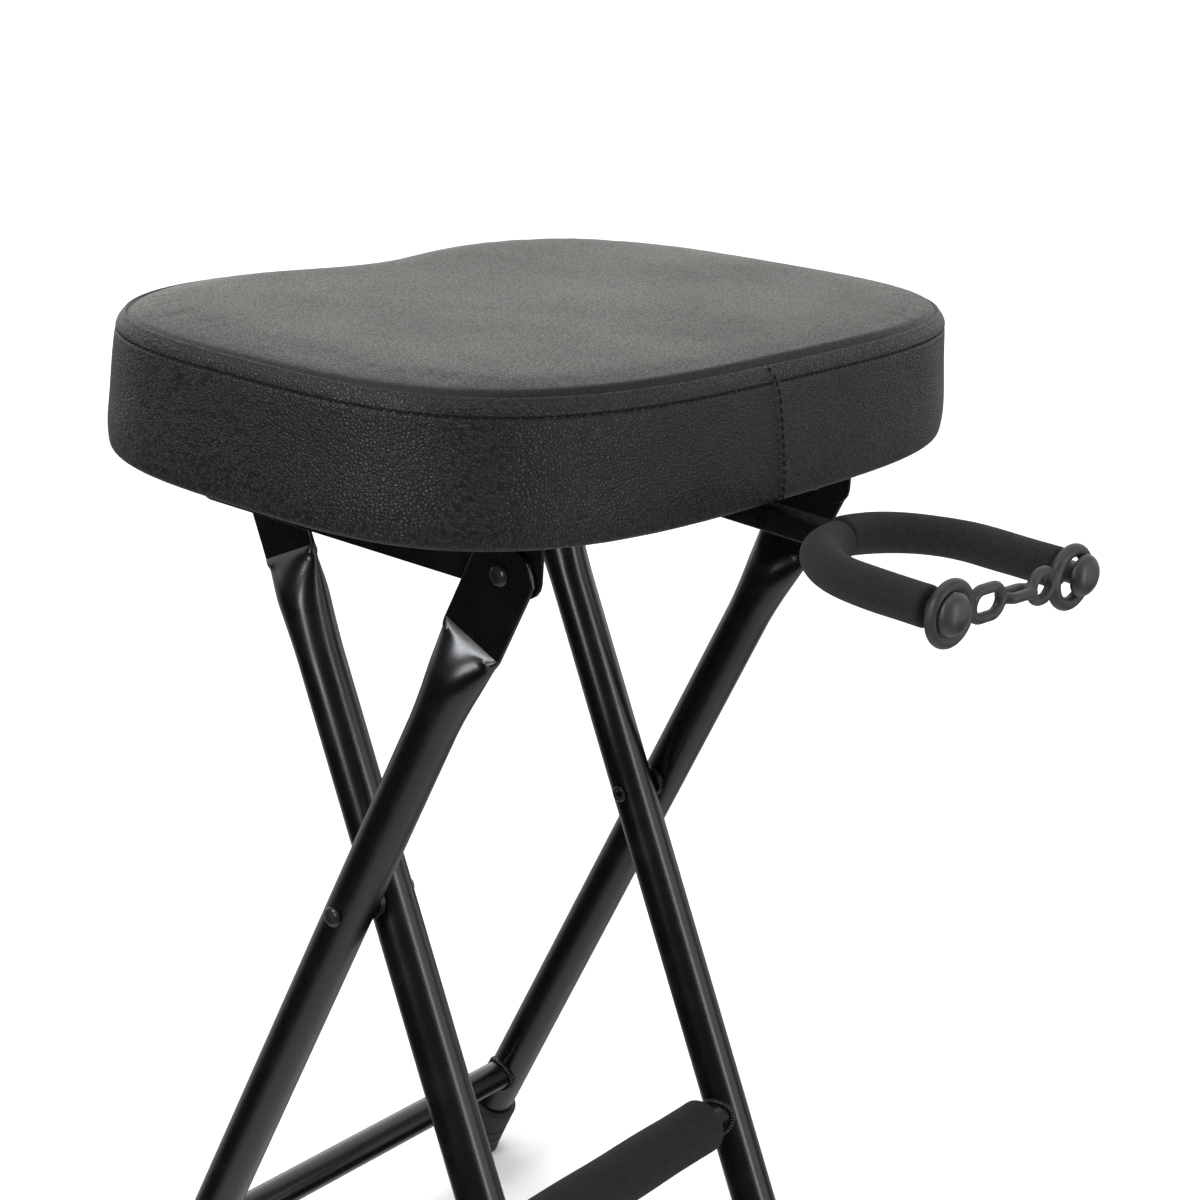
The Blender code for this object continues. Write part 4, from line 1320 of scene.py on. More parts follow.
    def side_seam(self) -> None:
        """Lay the lapped upright seam on the skirt at the hanger's end, with its stitches."""
        offsets = np.array(self.lap_offsets)
        lifts = np.array(self.lap_lifts) * self.lap_proud
        build = bmesh.new()
        grid, stitches = [], []
        upright = self.rows[SEAMED_ROWS]
        for index, row in enumerate(upright):
            line = self.places[row]
            target = self.lap_top + self.lap_drift * index / (len(upright) - 1)
            front = line[np.argsort(line[:, 1])]
            front = front[front[:, 0] > self.middle.x + self.lap_reach_share * self.hanger_reach]
            beside = target + self.lap_width / 2 * (offsets - 1.0)
            depth, height = (np.interp(beside, front[:, 1], front[:, part]) for part in (0, 2))
            strip = [Vector(point) for point in zip(depth + lifts, beside, height)]
            grid.append([build.verts.new(point) for point in strip])
            stitches.append(strip[len(strip) // 2] + Vector((self.lap_sew_proud, 0.0, 0.0)))
        for upper, lower in zip(grid, grid[1:]):
            for left in range(len(offsets) - 1):
                build.faces.new((upper[left], lower[left], lower[left + 1], upper[left + 1]))
        mesh = to_mesh(build, "side_seam")
        mark_skirt(mesh, np.ones(len(mesh.vertices)))
        if mesh.polygons[0].normal.x < 0:
            mesh.flip_normals()
        mesh.shade_smooth()
        piece = add_piece("side_seam", mesh, self.finishes.leatherette, Body.SEAT)
        thick = piece.modifiers.new("lap_thickness", "SOLIDIFY")
        thick.thickness, thick.offset = self.lap_thickness, -1.0
        subdivide(piece)
        self.stitch("side_seam_stitch", stitches, [Vector((1.0, 0.0, 0.0))] * len(stitches))


@dataclass
class SeatFittings:
    """Steel channels, swivel plate, bolt and screws under the board."""

    finishes: Finishes
    head_radius: float = 0.0040
    head_height: float = 0.0024
    head_rim: float = 0.0003
    shank_radius: float = 0.0019
    cross_width: float = 0.0011
    cross_reach: float = 0.0024
    cross_depth: float = 0.0014
    screw_sides: int = 28
    edge: float = 0.0005

    def build(self) -> None:
        """Build and dress the fittings."""
        dress_node("seat_board", self.finishes.cloth)
        for side in Side:
            node = f"channel_{side.label}"
            add_cad_piece(f"seat_{node}", [node], self.finishes.paint, Body.SEAT, self.edge)
        add_cad_piece("hanger_plate", ["swivel_plate"], self.finishes.paint, Body.SEAT, self.edge)
        hardware = ["swivel_bolt", "swivel_washer_upper", "swivel_washer_lower"]
        add_cad_piece("hanger_bolt", hardware, self.finishes.steel, Body.SEAT, self.edge / 2)
        self.screws()

    def screws(self) -> None:
        """Drive the pan-head screws of the channels and the plate."""
        names = sorted(name for name in frame["nodes"] if "_screw_" in name)
        seats = []
        for name in names:
            low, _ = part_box(name)
            middle = box_centre(name)
            seats.append(Vector((middle.x, middle.y, low.z + self.head_height)))
        mesh = fasteners(self.screw(), seats, [-UP] * len(seats), self.finishes.steel)
        add_piece("seat_screws", smooth(mesh), self.finishes.steel, Body.SEAT, names)

    def screw(self) -> Mesh:
        """Return a pan-head screw about its seat, with a cross recess and a short shank."""
        profile = [(-0.006, 0.0), (-0.005, 0.0013), (-0.004, self.shank_radius), (0.0, self.shank_radius),
                   (0.0, self.head_radius - 0.0002), (self.head_rim, self.head_radius)]
        crown = dome(self.head_radius, self.head_height - self.head_rim)
        mesh = turned(profile + [(self.head_rim + rise, radius) for rise, radius in crown], Vector(), UP,
                      self.screw_sides)
        half = self.cross_width / 2
        for reach, width in ((self.cross_reach, half), (half, self.cross_reach)):
            ring = [(-reach, -width), (reach, -width), (reach, width), (-reach, width)]
            cutter = scratch_object(loft([[Vector((x, y, z)) for x, y in ring] for z in
                                          (self.head_height - self.cross_depth, 2 * self.head_height)]))
            item = scratch_object(mesh)
            cut = item.modifiers.new("cross_recess", "BOOLEAN")
            cut.operation, cut.solver, cut.object = "DIFFERENCE", "EXACT", cutter
            mesh = settled(item)
            bpy.data.objects.remove(cutter)
        return mesh


# Leg frames

@dataclass
class TubeLeg:
    """One leg: round tube, pressed to a flat round its top hole, on a rubber foot."""

    pivot: Vector
    top: Vector
    place: float
    radius: float = 0.0127
    flat_width: float = 0.0390
    flat_thickness: float = 0.0030
    flat_corner: float = 0.0090
    past_hole: float = 0.0160
    crease_below: float = 0.0390
    taper: float = 0.0580
    taper_rings: int = 22
    taper_crowding: float = 1.35
    taper_power: float = 1.6
    swell: float = 0.0290
    flatness: float = 6.0
    facet_run: float = 0.006
    facet_power: float = 1.3
    end_thinning: float = 0.0008
    sides: int = 64
    tube_sharp: float = 27.0
    foot_wall: float = 0.0033
    foot_flare: float = 0.0012
    foot_rounding: float = 0.002
    foot_sides: int = 56
    foot_sharp: float = 40.0
    tube_in_foot: float = 0.018
    grooves: int = 3
    groove_start: float = 0.0120
    groove_pitch: float = 0.0070
    weld_steps: int = 48

    def __post_init__(self) -> None:
        """Work out the leg's directions and where the floor lies along it."""
        line = self.top - self.pivot
        self.length = line.length
        self.axis = line.normalized()
        self.wide = self.axis.cross(ACROSS).normalized()
        self.lean = math.atan2(abs(self.axis.x), self.axis.z)
        self.floor = -self.pivot.z / math.cos(self.lean)

    def at(self, height: float) -> Vector:
        """Return the point on the leg's middle line at a height along it from the pivot."""
        return self.pivot + height * self.axis + Vector((0.0, self.place, 0.0))

    def ring(self, height: float, width: float, depth: float, flatness: float) -> Ring:
        """Return one section of the leg.

        Args:
            height: Height along the leg from the pivot.
            width: Full width along the frame.
            depth: Full depth across the frame.
            flatness: 1 for an oval, more for a flatter face.

        Returns:
            The section's points.
        """
        middle = self.at(height)
        points = []
        for turn in turns_round(self.sides):
            side = math.sin(turn)
            rise = math.copysign(1.0 - (1.0 - abs(side)) ** flatness, side)
            points.append(middle + width / 2 * math.cos(turn) * self.wide + depth / 2 * rise * ACROSS)
        return points

    def tube(self) -> Mesh:
        """Return the leg's mesh."""
        full = 2 * self.radius
        crease = self.length - self.crease_below
        end = self.length + self.past_hole
        rings = [self.ring(height, full, full, 1.0) for height in
                 (self.floor + self.tube_in_foot, self.floor + 0.1, 0.0, crease - self.taper - 0.002)]
        for step in range(self.taper_rings, 0, -1):
            below = self.taper * (step / self.taper_rings) ** self.taper_crowding
            width = full + (self.flat_width - full) * (1 - below / self.taper) ** self.taper_power
            grown = 1.0 - (1.0 - min(1.0, below / self.swell)) ** 2
            depth = self.flat_thickness + (full - self.flat_thickness) * grown
            facet = max(0.0, 1 - below / self.facet_run) ** self.facet_power
            rings.append(self.ring(crease - below, width, depth, 1.0 + (self.flatness - 1.0) * facet))
        for height, cut in ((crease, 0.0), (crease + 0.0008, 0.0), (end - self.flat_corner, 0.0),
                            (end - 0.6 * self.flat_corner, 0.55), (end - 0.0006, 1.75), (end, 1.95)):
            thick = self.flat_thickness - (self.end_thinning if height == end else 0.0)
            rings.append(self.ring(height, self.flat_width - cut * self.flat_corner, thick, self.flatness))
        return smooth(loft(rings), self.tube_sharp)

    def foot(self, node: str) -> Mesh:
        """Return the ribbed rubber foot that the leg stands in.

        Args:
            node: The foot's node, which gives its height.

        Returns:
            The foot's mesh.
        """
        outer, rounding = self.radius + self.foot_wall, self.foot_rounding
        _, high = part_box(node)
        top = self.floor + (high.z - (outer - rounding) * math.sin(self.lean)) / math.cos(self.lean)
        middle = self.at(self.floor)
        ground = [point - self.axis * (point.z / self.axis.z)
                  for point in circle(middle, self.axis, outer + self.foot_flare, self.foot_sides)]
        lifted = [point + 0.0012 * UP + 0.0002 * (point - middle).normalized() for point in ground]
        ribs = [(0.0105, outer + 0.0008)]
        for groove in range(self.grooves):
            start, slimmer = self.groove_start + self.groove_pitch * groove, 0.0001 * groove
            ribs += [(start, outer + 0.0006 - 2 * slimmer), (start + 0.0006, outer - 0.0004 - slimmer),
                     (start + 0.0022, outer - 0.0004 - slimmer),
                     (start + 0.0028, outer + 0.0005 - 2 * slimmer)]
        profile = [(self.floor + height, radius) for height, radius in ribs]
        profile += rounded_end(top, outer, rounding)
        profile += [(top, self.radius + 0.0002), (top - 0.004, self.radius + 0.0001)]
        rings = [ground, lifted] + [circle(self.at(height), self.axis, radius, self.foot_sides)
                                    for height, radius in profile]
        return smooth(loft(rings), self.foot_sharp)

    def weld(self, drop: float, tube_radius: float, inward: float) -> tuple[Ring, Ring]:
        """Return the path of the weld where a cross tube meets the leg.

        Args:
            drop: Distance of the cross tube below the pivot, along the leg.
            tube_radius: Radius of the cross tube.
            inward: Sign of Y towards the cross tube.

        Returns:
            Points round the joint and outward directions.
        """
        points, away = [], []
        reach = tube_radius + 0.0006
        for turn in turns_round(self.weld_steps):
            aside = reach * math.cos(turn)
            depth = math.sqrt(max(self.radius ** 2 - aside ** 2, 0.0)) + 0.0004
            radial = math.cos(turn) * self.wide + math.sin(turn) * self.axis
            points.append(self.at(-drop) + reach * radial + inward * depth * ACROSS)
            away.append((radial + inward * ACROSS).normalized())
        return points, away


@dataclass
class LegFrame:
    """A pair of legs with their cross tube, welds and feet."""

    finishes: Finishes
    body: Body
    prefix: str
    top: Vector
    cross_radius: float = 0.0095
    bead: float = 0.0021
    bead_pitch: float = 0.0017
    cross_sunk: float = 0.004

    def build(self) -> None:
        """Build and dress the frame."""
        stretcher = f"{self.prefix}_stretcher"
        middle = on_middle(stretcher)
        welds, ends = [], []
        for side in Side:
            node = f"{self.prefix}_leg_{side.label}"
            leg = TubeLeg(joint_place("leg_fold"), self.top, box_centre(node).y)
            add_piece(f"{node}_tube", leg.tube(), self.finishes.paint, self.body, [node])
            foot = f"{self.prefix}_foot_{side.label}"
            add_piece(f"{foot}_cap", leg.foot(foot), self.finishes.foot_rubber, self.body,
                      [foot])
            drop = (leg.pivot.z - middle.z) / leg.axis.z
            points, away = leg.weld(drop, self.cross_radius, -side.value)
            welds.append(weld_tree().run(path_mesh(points, away, closed=True), Pitch=self.bead_pitch,
                                         Bead=self.bead, Finish=self.finishes.paint))
            ends.append(leg.place - side.value * (leg.radius - self.cross_sunk))
        add_piece(f"{self.prefix}_welds", joined(welds), self.finishes.paint, self.body)
        tube = turned([(height, self.cross_radius) for height in (ends[0], 0.0, ends[1])], middle, ACROSS)
        add_piece(f"{stretcher}_tube", smooth(tube), self.finishes.paint, self.body, [stretcher])


@dataclass
class OuterFrame(LegFrame):
    """Outer leg frame, with the rivets of the cross and of the seat."""

    head_radius: float = 0.0055
    head_height: float = 0.0026
    tail_radius: float = 0.00475
    bore_radius: float = 0.0018
    shank_radius: float = 0.0032
    tail_roll: float = 0.0015
    rivet_sides: int = 36
    rivet_sharp: float = 50.0
    washer_edge: float = 0.0003

    def build(self) -> None:
        """Build and dress the frame and its rivets."""
        super().build()
        for kind in ("cross_rivet", "seat_rivet"):
            names = [f"{kind}_{side.label}" for side in Side]
            low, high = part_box(names[0])
            seats, away = [], []
            for side, name in zip(Side, names):
                ends = [corner.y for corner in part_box(name)]
                middle = box_centre(name)
                outer = ends[0] if side is Side.NEAR else ends[1]
                seats.append(Vector((middle.x, outer - side.value * self.head_height, middle.z)))
                away.append(side.value * ACROSS)
            pattern = self.rivet(high[1] - low[1] - self.head_height)
            mesh = smooth(fasteners(pattern, seats, away, self.finishes.steel), self.rivet_sharp)
            add_piece(f"{kind}s", mesh, self.finishes.steel, self.body, names)
        for side in Side:
            node = f"cross_washer_{side.label}"
            add_cad_piece(f"{node}_ring", [node], self.finishes.steel, self.body,
                          self.washer_edge)

    def rivet(self, grip: float) -> Mesh:
        """Return a tubular rivet about its seat, domed head along Z and rolled tail at its far end.

        Args:
            grip: Length from the seat to the tail's end.

        Returns:
            The rivet's mesh.
        """
        bore, tail, roll = self.bore_radius, self.tail_radius, self.tail_roll
        end = [(0.005, 0.0), (0.005, bore), (0.0008, bore), (0.0001, bore + 0.0008), (0.0, bore + 0.0014),
               (0.0003, tail - 0.0004), (0.0008, tail), (roll, tail - 0.0002), (roll, self.shank_radius)]
        profile = [(height - grip, radius) for height, radius in end]
        profile += [(0.0, self.shank_radius), (0.0, self.head_radius - 0.0002), (0.0004, self.head_radius)]
        crown = dome(self.head_radius - 0.0001, self.head_height - 0.0005, 8)
        profile += [(0.0005 + rise, radius) for rise, radius in crown]
        return turned(profile, Vector(), UP, self.rivet_sides)


@dataclass
class InnerFrame(LegFrame):
    """Inner leg frame, with its latch bar and the foam that a guitar's body leans on."""

    bar_rounding: float = 0.0012
    bar_sides: int = 40
    foam_rounding: float = 0.0016
    foam_bore_depth: float = 0.003
    foam_rings: int = 60
    foam_straight: float = 0.96
    foam_sides: int = 56
    foam_waves: float = 0.00025

    def build(self) -> None:
        """Build and dress the frame, the latch bar and the rest foam."""
        super().build()
        low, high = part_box("latch_bar")
        radius = (high[2] - low[2]) / 2
        bar = turned(rounded_bar(high[1], radius, self.bar_rounding, [(0.0, radius)]),
                     on_middle("latch_bar"), ACROSS, self.bar_sides)
        add_piece("latch_rod", smooth(bar), self.finishes.steel, self.body, ["latch_bar"])
        self.rest()

    def rest(self) -> None:
        """Slide the foam sleeve onto the cross tube."""
        low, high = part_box("body_rest_foam")
        radius = (high[2] - low[2]) / 2
        bore = self.cross_radius + 0.0001
        straight = [(high[1] * share, radius)
                    for share in np.linspace(-self.foam_straight, self.foam_straight, self.foam_rings)]
        profile = [(low[1] + self.foam_bore_depth, bore), (low[1], bore)]
        profile += rounded_bar(high[1], radius, self.foam_rounding, straight)
        profile += [(high[1], bore), (high[1] - self.foam_bore_depth, bore)]
        sleeve = turned(profile, on_middle("body_rest_foam"), ACROSS, self.foam_sides)
        soften(sleeve, self.foam_waves)
        piece = add_piece("rest_sleeve", smooth(sleeve, FOAM_SHARP), self.finishes.foam, self.body,
                          ["body_rest_foam"])


def soften(mesh: Mesh, amount: float) -> None:
    """Move a foam piece's skin in and out by slow waves.

    Args:
        mesh: The piece's mesh.
        amount: Size of the waves in metres, which lie mostly inwards.
    """
    places = places_of(mesh)
    normals = np.empty(places.size, dtype=np.float32)
    mesh.vertex_normals.foreach_get("vector", normals)
    x, y, z = places.T
    wave = np.sin(61 * x + 83 * y) + np.sin(97 * y - 59 * z + 1.0) + np.sin(140 * x + 2.0)
    move_to(mesh, places + normals.reshape(-1, 3) * (amount * (wave / 3.0 - 0.6))[:, None])


# Hanger

@dataclass
class Hanger:
    """Swing-out arm with a foam-covered yoke, end knobs and a rubber strap."""

    finishes: Finishes
    base: float = 0.1325
    bend: float = 0.0505
    prong: float = 0.0444
    sleeve_radius: float = 0.0102
    sleeve_rounding: float = 0.0026
    sleeve_rings: int = 84
    sleeve_sides: int = 48
    sleeve_bore_depth: float = 0.004
    sleeve_waves: float = 0.0003
    near_slip: float = 0.0044
    far_slip: float = 0.0004
    slip_start: float = 0.55
    slip_run: float = 0.70
    crease_depth: float = 0.0006
    crease_radians_per_metre: float = 900.0
    rod_radius: float = 0.0040
    slit: float = 0.0021
    centre_drop: float = 0.01035
    neck_radius: float = 0.0055
    neck_length: float = 0.0110
    head_radius: float = 0.01025
    head_height: float = 0.0070
    head_edge: float = 0.0010
    knob_gap: float = 0.0003
    knob_sides: int = 64
    knob_sharp: float = 45.0
    bar_edge: float = 0.0007
    bar_sharp: float = 50.0
    ring_bore: float = 0.0195
    ring_section: float = 0.0066
    ring_play: float = 0.0003
    link_section: float = 0.0054
    link_height: float = 0.0190
    middle_length: float = 0.0250
    middle_shift: float = 0.0035
    middle_width: float = 0.0130
    overlap: float = 0.0030
    strap_hang: float = 0.0014
    link_steps: int = 56
    link_sides: int = 20
    fillet_voxel: float = 0.00055
    fillet_rounds: int = 7

    def __post_init__(self) -> None:
        """Read the yoke's place and direction from the frame, and work out its bend."""
        self.arc = self.bend * math.pi / 2
        self.tip = self.base + self.bend + self.prong
        self.origin = joint_place("hanger_swing")
        spread = box_centre("end_knob_far") - box_centre("end_knob_near")
        self.aside = Vector((spread.x, spread.y, 0.0)).normalized()
        self.forward = self.aside.cross(UP)

    def at(self, forward: float, aside: float, rise: float = 0.0) -> Vector:
        """Return a place given along, across and above the yoke's middle line."""
        return self.origin + forward * self.forward + aside * self.aside + (rise - self.centre_drop) * UP

    def build(self) -> None:
        """Build and dress the hanger."""
        for name, node, material, slot in (("hanger_bar", "hanger_arm", self.finishes.paint, Slot.PAINT),
                                           ("bar_plug", "arm_plug", self.finishes.plastic, Slot.PLASTIC)):
            add_cad_piece(name, [node], material, Body.HANGER, self.bar_edge, self.bar_sharp)
        dress_node("yoke_rod", self.finishes.paint)
        for side in Side:
            self.sleeve(side)
            self.knob(side)
        self.strap()

    def path(self, side: Side, run: float) -> tuple[Vector, Vector]:
        """Return a point on one prong's middle line and its direction.

        Args:
            side: The prong's side.
            run: Distance along the prong from the yoke's middle.

        Returns:
            The point and the unit direction.
        """
        if run < self.arc:
            turn = run / self.bend
            ahead, beside = math.sin(turn), math.cos(turn)
            place = self.at(self.base + self.bend * (1 - beside), side.value * self.bend * ahead)
            return place, ahead * self.forward + side.value * beside * self.aside
        return self.at(self.base + self.bend + run - self.arc, side.value * self.bend), self.forward.copy()

    def sleeve(self, side: Side) -> None:
        """Slide a foam sleeve onto one prong.

        Args:
            side: The prong's side.
        """
        full = self.arc + self.prong
        bore = self.rod_radius + 0.0002
        end = rounded_end(full, self.sleeve_radius, self.sleeve_rounding)
        straight = np.linspace(self.slit + 0.003, full - 0.003, self.sleeve_rings)
        profile = [(self.slit + self.sleeve_bore_depth, bore), (self.slit, bore)]
        profile += [(self.slit + full - height, radius) for height, radius in reversed(end)]
        profile += [(float(run), self.sleeve_radius) for run in straight] + end
        profile += [(full, bore), (full - self.sleeve_bore_depth, bore)]
        rings = []
        for run, radius in profile:
            place, direction = self.path(side, run)
            place = place + self.slip(side, run, radius) * side.value * direction.cross(UP)
            ring = circle(place, direction, radius, self.sleeve_sides)
            rings.append([self.creased(point, place, run, radius) for point in ring])
        mesh = loft(rings)
        soften(mesh, self.sleeve_waves)
        smooth(mesh, FOAM_SHARP)
        node = f"foam_sleeve_{side.label}"
        piece = add_piece(f"yoke_{node}", mesh, self.finishes.foam, Body.HANGER, [node])

    def is_bore(self, radius: float) -> bool:
        """Tell whether a ring of a sleeve lies in its bore instead of its skin."""
        return radius < 0.8 * self.sleeve_radius

    def slip(self, side: Side, run: float, radius: float) -> float:
        """Return how far the foam sits towards the inside of the bend, its outer wall stretched thin.

        Args:
            side: The prong's side.
            run: Distance along the prong.
            radius: Radius of the ring, which only slips where it is the outer skin.

        Returns:
            The distance towards the inside.
        """
        if self.is_bore(radius):
            return 0.0
        share = min(1.0, max(0.0, (run / self.arc - self.slip_start) / self.slip_run))
        most = self.near_slip if side is Side.NEAR else self.far_slip
        return most * (1.0 - share * share * (3.0 - 2.0 * share))

    def creased(self, point: Vector, place: Vector, run: float, radius: float) -> Vector:
        """Return a skin point moved by the creases on the inside of the bend.

        Args:
            point: The point on the plain sleeve.
            place: The middle of its ring.
            run: Distance along the prong.
            radius: Radius of the plain sleeve there.

        Returns:
            The moved point.
        """
        if self.is_bore(radius):
            return point
        inner = self.at(self.base + self.bend, 0.0) - place
        inner.z = 0.0
        outward = (point - place).normalized()
        facing = max(0.0, outward.dot(inner.normalized())) if inner.length > 1e-6 else 0.0
        window = math.sin(math.pi * min(1.0, run / self.arc)) ** 2
        wave = 0.5 + 0.5 * math.sin(run * self.crease_radians_per_metre)
        return point - outward * self.crease_depth * facing ** 2 * window * wave

    def knob(self, side: Side) -> None:
        """Push an end knob onto one prong.

        Args:
            side: The prong's side.
        """
        gap, edge, neck, bore = self.knob_gap, self.head_edge, self.neck_radius, self.rod_radius + 0.0003
        neck_end = gap + self.neck_length
        profile = [(gap + 0.0060, bore), (gap, bore), (gap, neck - 0.0003), (gap + 0.0003, neck),
                   (neck_end - 0.0008, neck), (neck_end - 0.0002, neck + 0.0003), (neck_end, neck + 0.0010)]
        profile += [(neck_end + edge * (1 - math.cos(turn)), self.head_radius - edge * (1 - math.sin(turn)))
                    for turn in quarter_turns(5)]
        crown = dome(self.head_radius, self.head_height - edge, 14)
        profile += [(neck_end + edge + rise, radius) for rise, radius in crown[1:]]
        mesh = turned(profile, self.at(self.tip, side.value * self.bend), self.forward, self.knob_sides)
        smooth(mesh, self.knob_sharp)
        node = f"end_knob_{side.label}"
        add_piece(f"yoke_{node}", mesh, self.finishes.plastic, Body.HANGER, [node])

    def link(self, middle: Vector, upright: Vector, length: float, height: float, section: float) -> Mesh:
        """Return one closed link of the strap, along the yoke's width.

        Args:
            middle: Middle of the link.
            upright: Direction of the link's height.
            length: Length over its outside.
            height: Height over its outside.
            section: Diameter of its round section.

        Returns:
            The link's mesh.
        """
        along = self.aside
        normal = along.cross(upright)
        rings = []
        for turn in turns_round(self.link_steps):
            outward = math.cos(turn) * along + math.sin(turn) * upright
            end = math.copysign((length - height) / 2, math.cos(turn))
            place = middle + end * along + (height - section) / 2 * outward
            rings.append([place + section / 2 * (math.cos(angle) * outward + math.sin(angle) * normal)
                          for angle in turns_round(self.link_sides)])
        return loft(rings, loop=True)

    def strap(self) -> None:
        """Mould the rubber strap: a ring for each knob joined by three links, with filleted joints."""
        outer = self.ring_bore + 2 * self.ring_section
        slack = self.ring_bore / 2 - self.neck_radius - self.ring_play
        ring_place = self.bend - math.sqrt(slack ** 2 - self.strap_hang ** 2)
        high = ring_place - outer / 2 + self.overlap
        forward = self.tip + self.neck_length - self.ring_section / 2
        parts = [self.link(self.at(forward, self.middle_shift, -self.strap_hang), self.forward,
                           self.middle_length, self.middle_width, self.link_section)]
        for side in Side:
            ring_middle = self.at(forward, side.value * ring_place, -self.strap_hang)
            parts.append(self.link(ring_middle, UP, outer, outer, self.ring_section))
            low = self.middle_length / 2 - self.overlap + side.value * self.middle_shift
            link_middle = self.at(forward, side.value * (low + high) / 2, -self.strap_hang)
            parts.append(self.link(link_middle, UP, high - low, self.link_height, self.link_section))
        item = scratch_object(joined(parts))
        merge = item.modifiers.new("one_moulding", "REMESH")
        merge.mode, merge.voxel_size = "VOXEL", self.fillet_voxel
        fillet = item.modifiers.new("fillets", "SMOOTH")
        fillet.factor, fillet.iterations = 0.5, self.fillet_rounds
        mesh = settled(item)
        mesh.shade_smooth()
        add_piece("rubber_strap", mesh, self.finishes.strap_rubber, Body.HANGER, ["neck_strap"])


# Stage

@dataclass(frozen=True)
class SoftBox:
    """One soft box, with its width and height in metres and its power in watts."""

    name: str
    place: Triple
    aim: Triple
    size: Span
    power: float
    colour: Colour

    def hang(self) -> None:
        """Hang the box where it belongs, and point it at its aim."""
        data = bpy.data.lights.new(self.name, "AREA")
        data.color, data.energy = self.colour, self.power
        data.shape, data.size, data.size_y = "RECTANGLE", *self.size
        lamp = new_object(self.name, data)
        lamp.location = self.place
        lamp.rotation_euler = (Vector(self.aim) - Vector(self.place)).to_track_quat("-Z", "Y").to_euler()


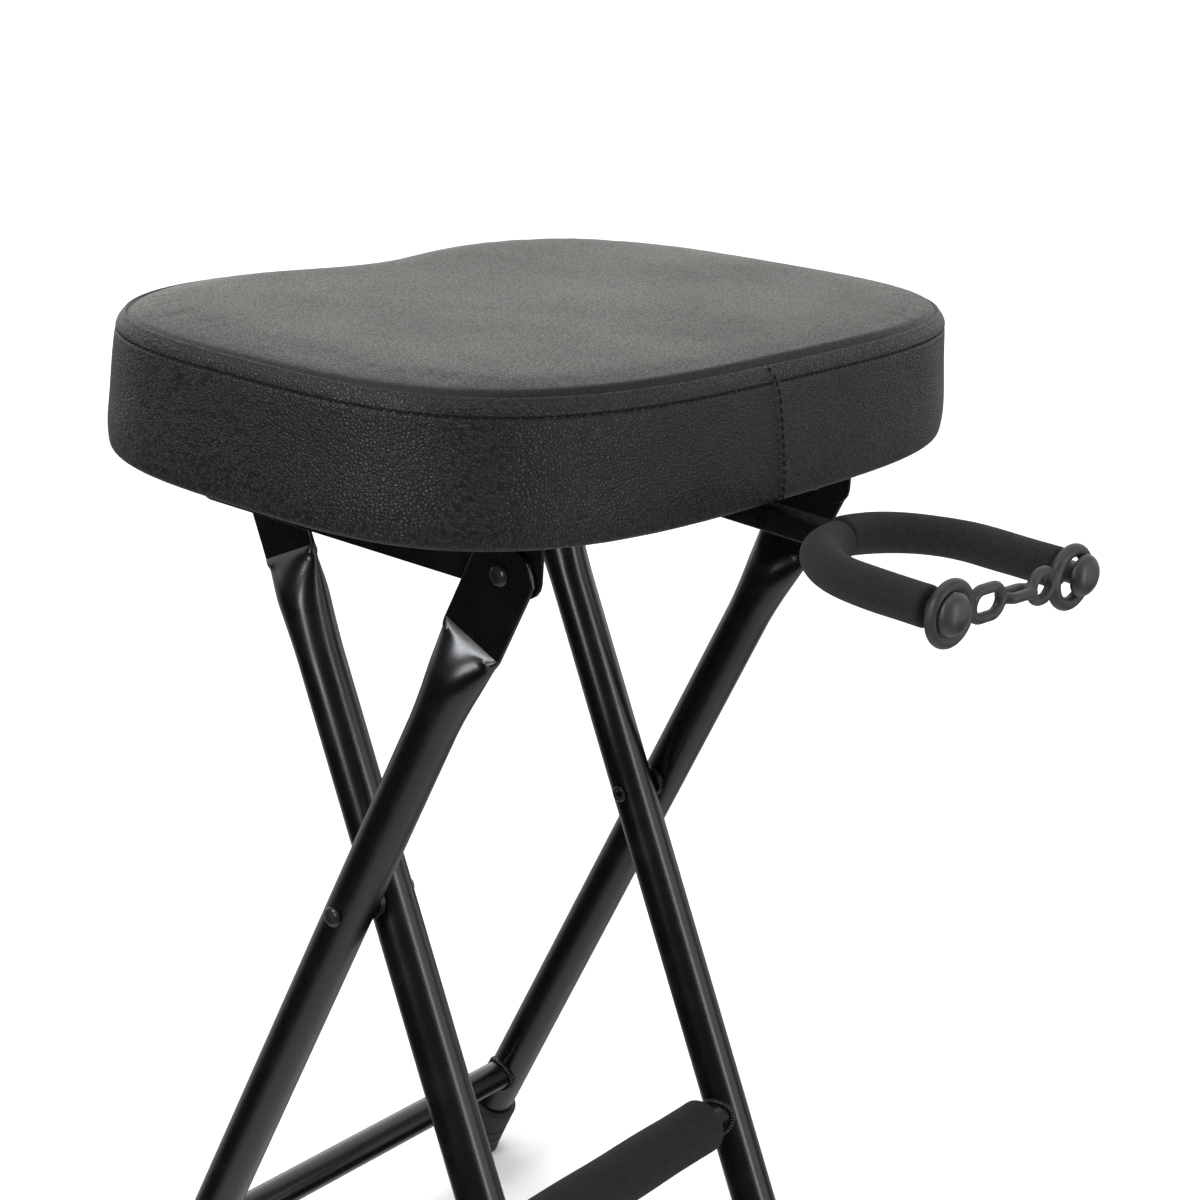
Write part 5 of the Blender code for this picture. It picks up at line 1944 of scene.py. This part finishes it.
@dataclass
class Studio:
    """Pale floor, soft light and the camera at the photograph's angle."""

    lens: float = 70.281
    sensor: float = 36.0
    shift: float = -0.03984
    clip: float = 0.05
    eye: Vector = Vector((0.77366, -0.93708, 0.53585))
    right: Vector = Vector((0.776362, 0.627322, 0.061068))
    above: Vector = Vector((-0.227054, 0.187976, 0.955569))
    floor_reach: float = 60.0
    floor_drop: float = 0.0002
    floor_sides: int = 96
    floor_light: float = 2.6
    floor_light_angle: float = 70.0
    floor_light_turn: Triple = (8.0, -6.0, 0.0)
    left_shares: Span = (0.93, -0.37)
    front_glow: Colour = (0.10, 0.10, 0.10)
    back_glow: Colour = (1.36, 1.33, 1.27)
    back_span: Span = (0.12, 0.80)
    left_glow: Colour = (1.75, 1.73, 1.66)
    left_span: Span = (0.82, 1.0)
    top_glow: Colour = (1.00, 1.00, 1.00)
    top_span: Span = (0.55, 0.95)
    low_glow: Colour = (0.020, 0.020, 0.021)
    back_floor_glow: Colour = (0.42, 0.41, 0.40)
    back_floor_span: Span = (0.25, 0.75)
    floor_glow: Colour = (0.72, 0.71, 0.69)
    floor_span: Span = (0.64, 0.82)
    horizon: Span = (-0.12, 0.02)
    boxes: tuple[SoftBox, ...] = (
        SoftBox("key_box", (-0.40, -1.40, 1.40), (-0.02, -0.05, 0.50), (0.42, 0.42), 12.0, (0.93, 0.96, 1.0)),
        SoftBox("front_strip", (0.08, -1.70, 0.69), (0.08, 0.0, 0.60), (0.28, 0.5), 5.6, (1.0, 0.98, 0.98)),
        SoftBox("right_panel", (1.35, 0.75, 0.60), (0.0, 0.0, 0.40), (0.9, 1.5), 4.5, (1.0, 0.98, 0.95)),
        SoftBox("right_strip", (1.40, 0.03, 0.60), (0.0, 0.0, 0.40), (0.24, 1.4), 7.0, (1.0, 1.0, 1.0)))

    def build(self) -> None:
        """Set the stage."""
        self.camera()
        self.floor()
        self.surround()
        self.daylight()
        for box in self.boxes:
            box.hang()

    def camera(self) -> None:
        """Place the camera by the cross pivot."""
        data = bpy.data.cameras.new("camera")
        data.lens, data.sensor_width, data.sensor_fit = self.lens, self.sensor, "AUTO"
        data.shift_y, data.clip_start = self.shift, self.clip
        camera = new_object("camera", data)
        turn = Matrix((self.right, self.above, self.right.cross(self.above))).transposed()
        camera.matrix_world = Matrix.Translation(joint_place("leg_fold") + self.eye) @ turn.to_4x4()
        bpy.context.scene.camera = camera

    def floor(self) -> None:
        """Lay the floor."""
        build = bmesh.new()
        ring = circle(-self.floor_drop * UP, UP, self.floor_reach, self.floor_sides)
        face = build.faces.new([build.verts.new(point) for point in ring])
        if face.normal.z < 0:
            face.normal_flip()
        mesh = to_mesh(build, "floor")
        mesh.materials.append(PaleFloor().material())
        floor = new_object("floor", mesh)
        floor.visible_glossy = False

    def surround(self) -> None:
        """Surround the stool with light: bright behind it, overhead and on the floor below, dim in front."""
        world = bpy.data.worlds.new("studio")
        world.use_nodes = True
        nodes, links = world.node_tree.nodes, world.node_tree.links
        direction = nodes.new("ShaderNodeTexCoord").outputs["Generated"]

        def share(axis: Vector, span: Span) -> Socket:
            """Return how far a direction points along an axis, from 0 to 1 over a span."""
            along = nodes.new("ShaderNodeVectorMath")
            along.operation = "DOT_PRODUCT"
            along.inputs[1].default_value = axis
            links.new(direction, along.inputs[0])
            ramp = nodes.new("ShaderNodeMapRange")
            ramp.interpolation_type = "SMOOTHSTEP"
            ramp.inputs["From Min"].default_value, ramp.inputs["From Max"].default_value = span
            links.new(along.outputs["Value"], ramp.inputs["Value"])
            return ramp.outputs["Result"]

        def blend(factor: Socket, first: object, second: object) -> Socket:
            """Return a colour between two, by a factor."""
            mix = nodes.new("ShaderNodeMix")
            mix.data_type = "RGBA"
            links.new(factor, mix.inputs["Factor"])
            for socket, value in zip((mix.inputs[6], mix.inputs[7]), (first, second)):
                if isinstance(value, Socket):
                    links.new(value, socket)
                else:
                    socket.default_value = (*value, 1.0)
            return mix.outputs[2]

        behind = Vector((-self.eye.x, -self.eye.y, 0.0)).normalized()
        left = (self.left_shares[0] * behind + self.left_shares[1] * self.right).normalized()
        level = blend(share(behind, self.back_span), self.front_glow, self.back_glow)
        level = blend(share(left, self.left_span), level, self.left_glow)
        upper = blend(share(UP, self.top_span), level, self.top_glow)
        lower = blend(share(behind, self.back_floor_span), self.low_glow, self.back_floor_glow)
        lower = blend(share(-UP, self.floor_span), lower, self.floor_glow)
        links.new(blend(share(UP, self.horizon), lower, upper), nodes["Background"].inputs["Color"])
        bpy.context.scene.world = world
        bpy.context.scene.view_settings.view_transform = "Standard"

    def daylight(self) -> None:
        """Light the floor evenly from above."""
        data = bpy.data.lights.new("floor_light", "SUN")
        data.energy, data.angle = self.floor_light, math.radians(self.floor_light_angle)
        lamp = new_object("floor_light", data)
        lamp.rotation_euler = [math.radians(degrees) for degrees in self.floor_light_turn]
        lamp.visible_glossy = False


def main() -> None:
    """Build the stool's looks, sub-assembly by sub-assembly."""
    logging.basicConfig(level=logging.INFO, format="%(name)s: %(message)s")
    finishes = Finishes.made()
    Studio().build()
    OuterFrame(finishes, Body.OUTER, "outer", joint_place("seat_lift")).build()
    InnerFrame(finishes, Body.INNER, "inner", box_centre("latch_bar")).build()
    SeatFittings(finishes).build()
    SeatCushion(finishes).build()
    Hanger(finishes).build()


if __name__ == "__main__":
    main()
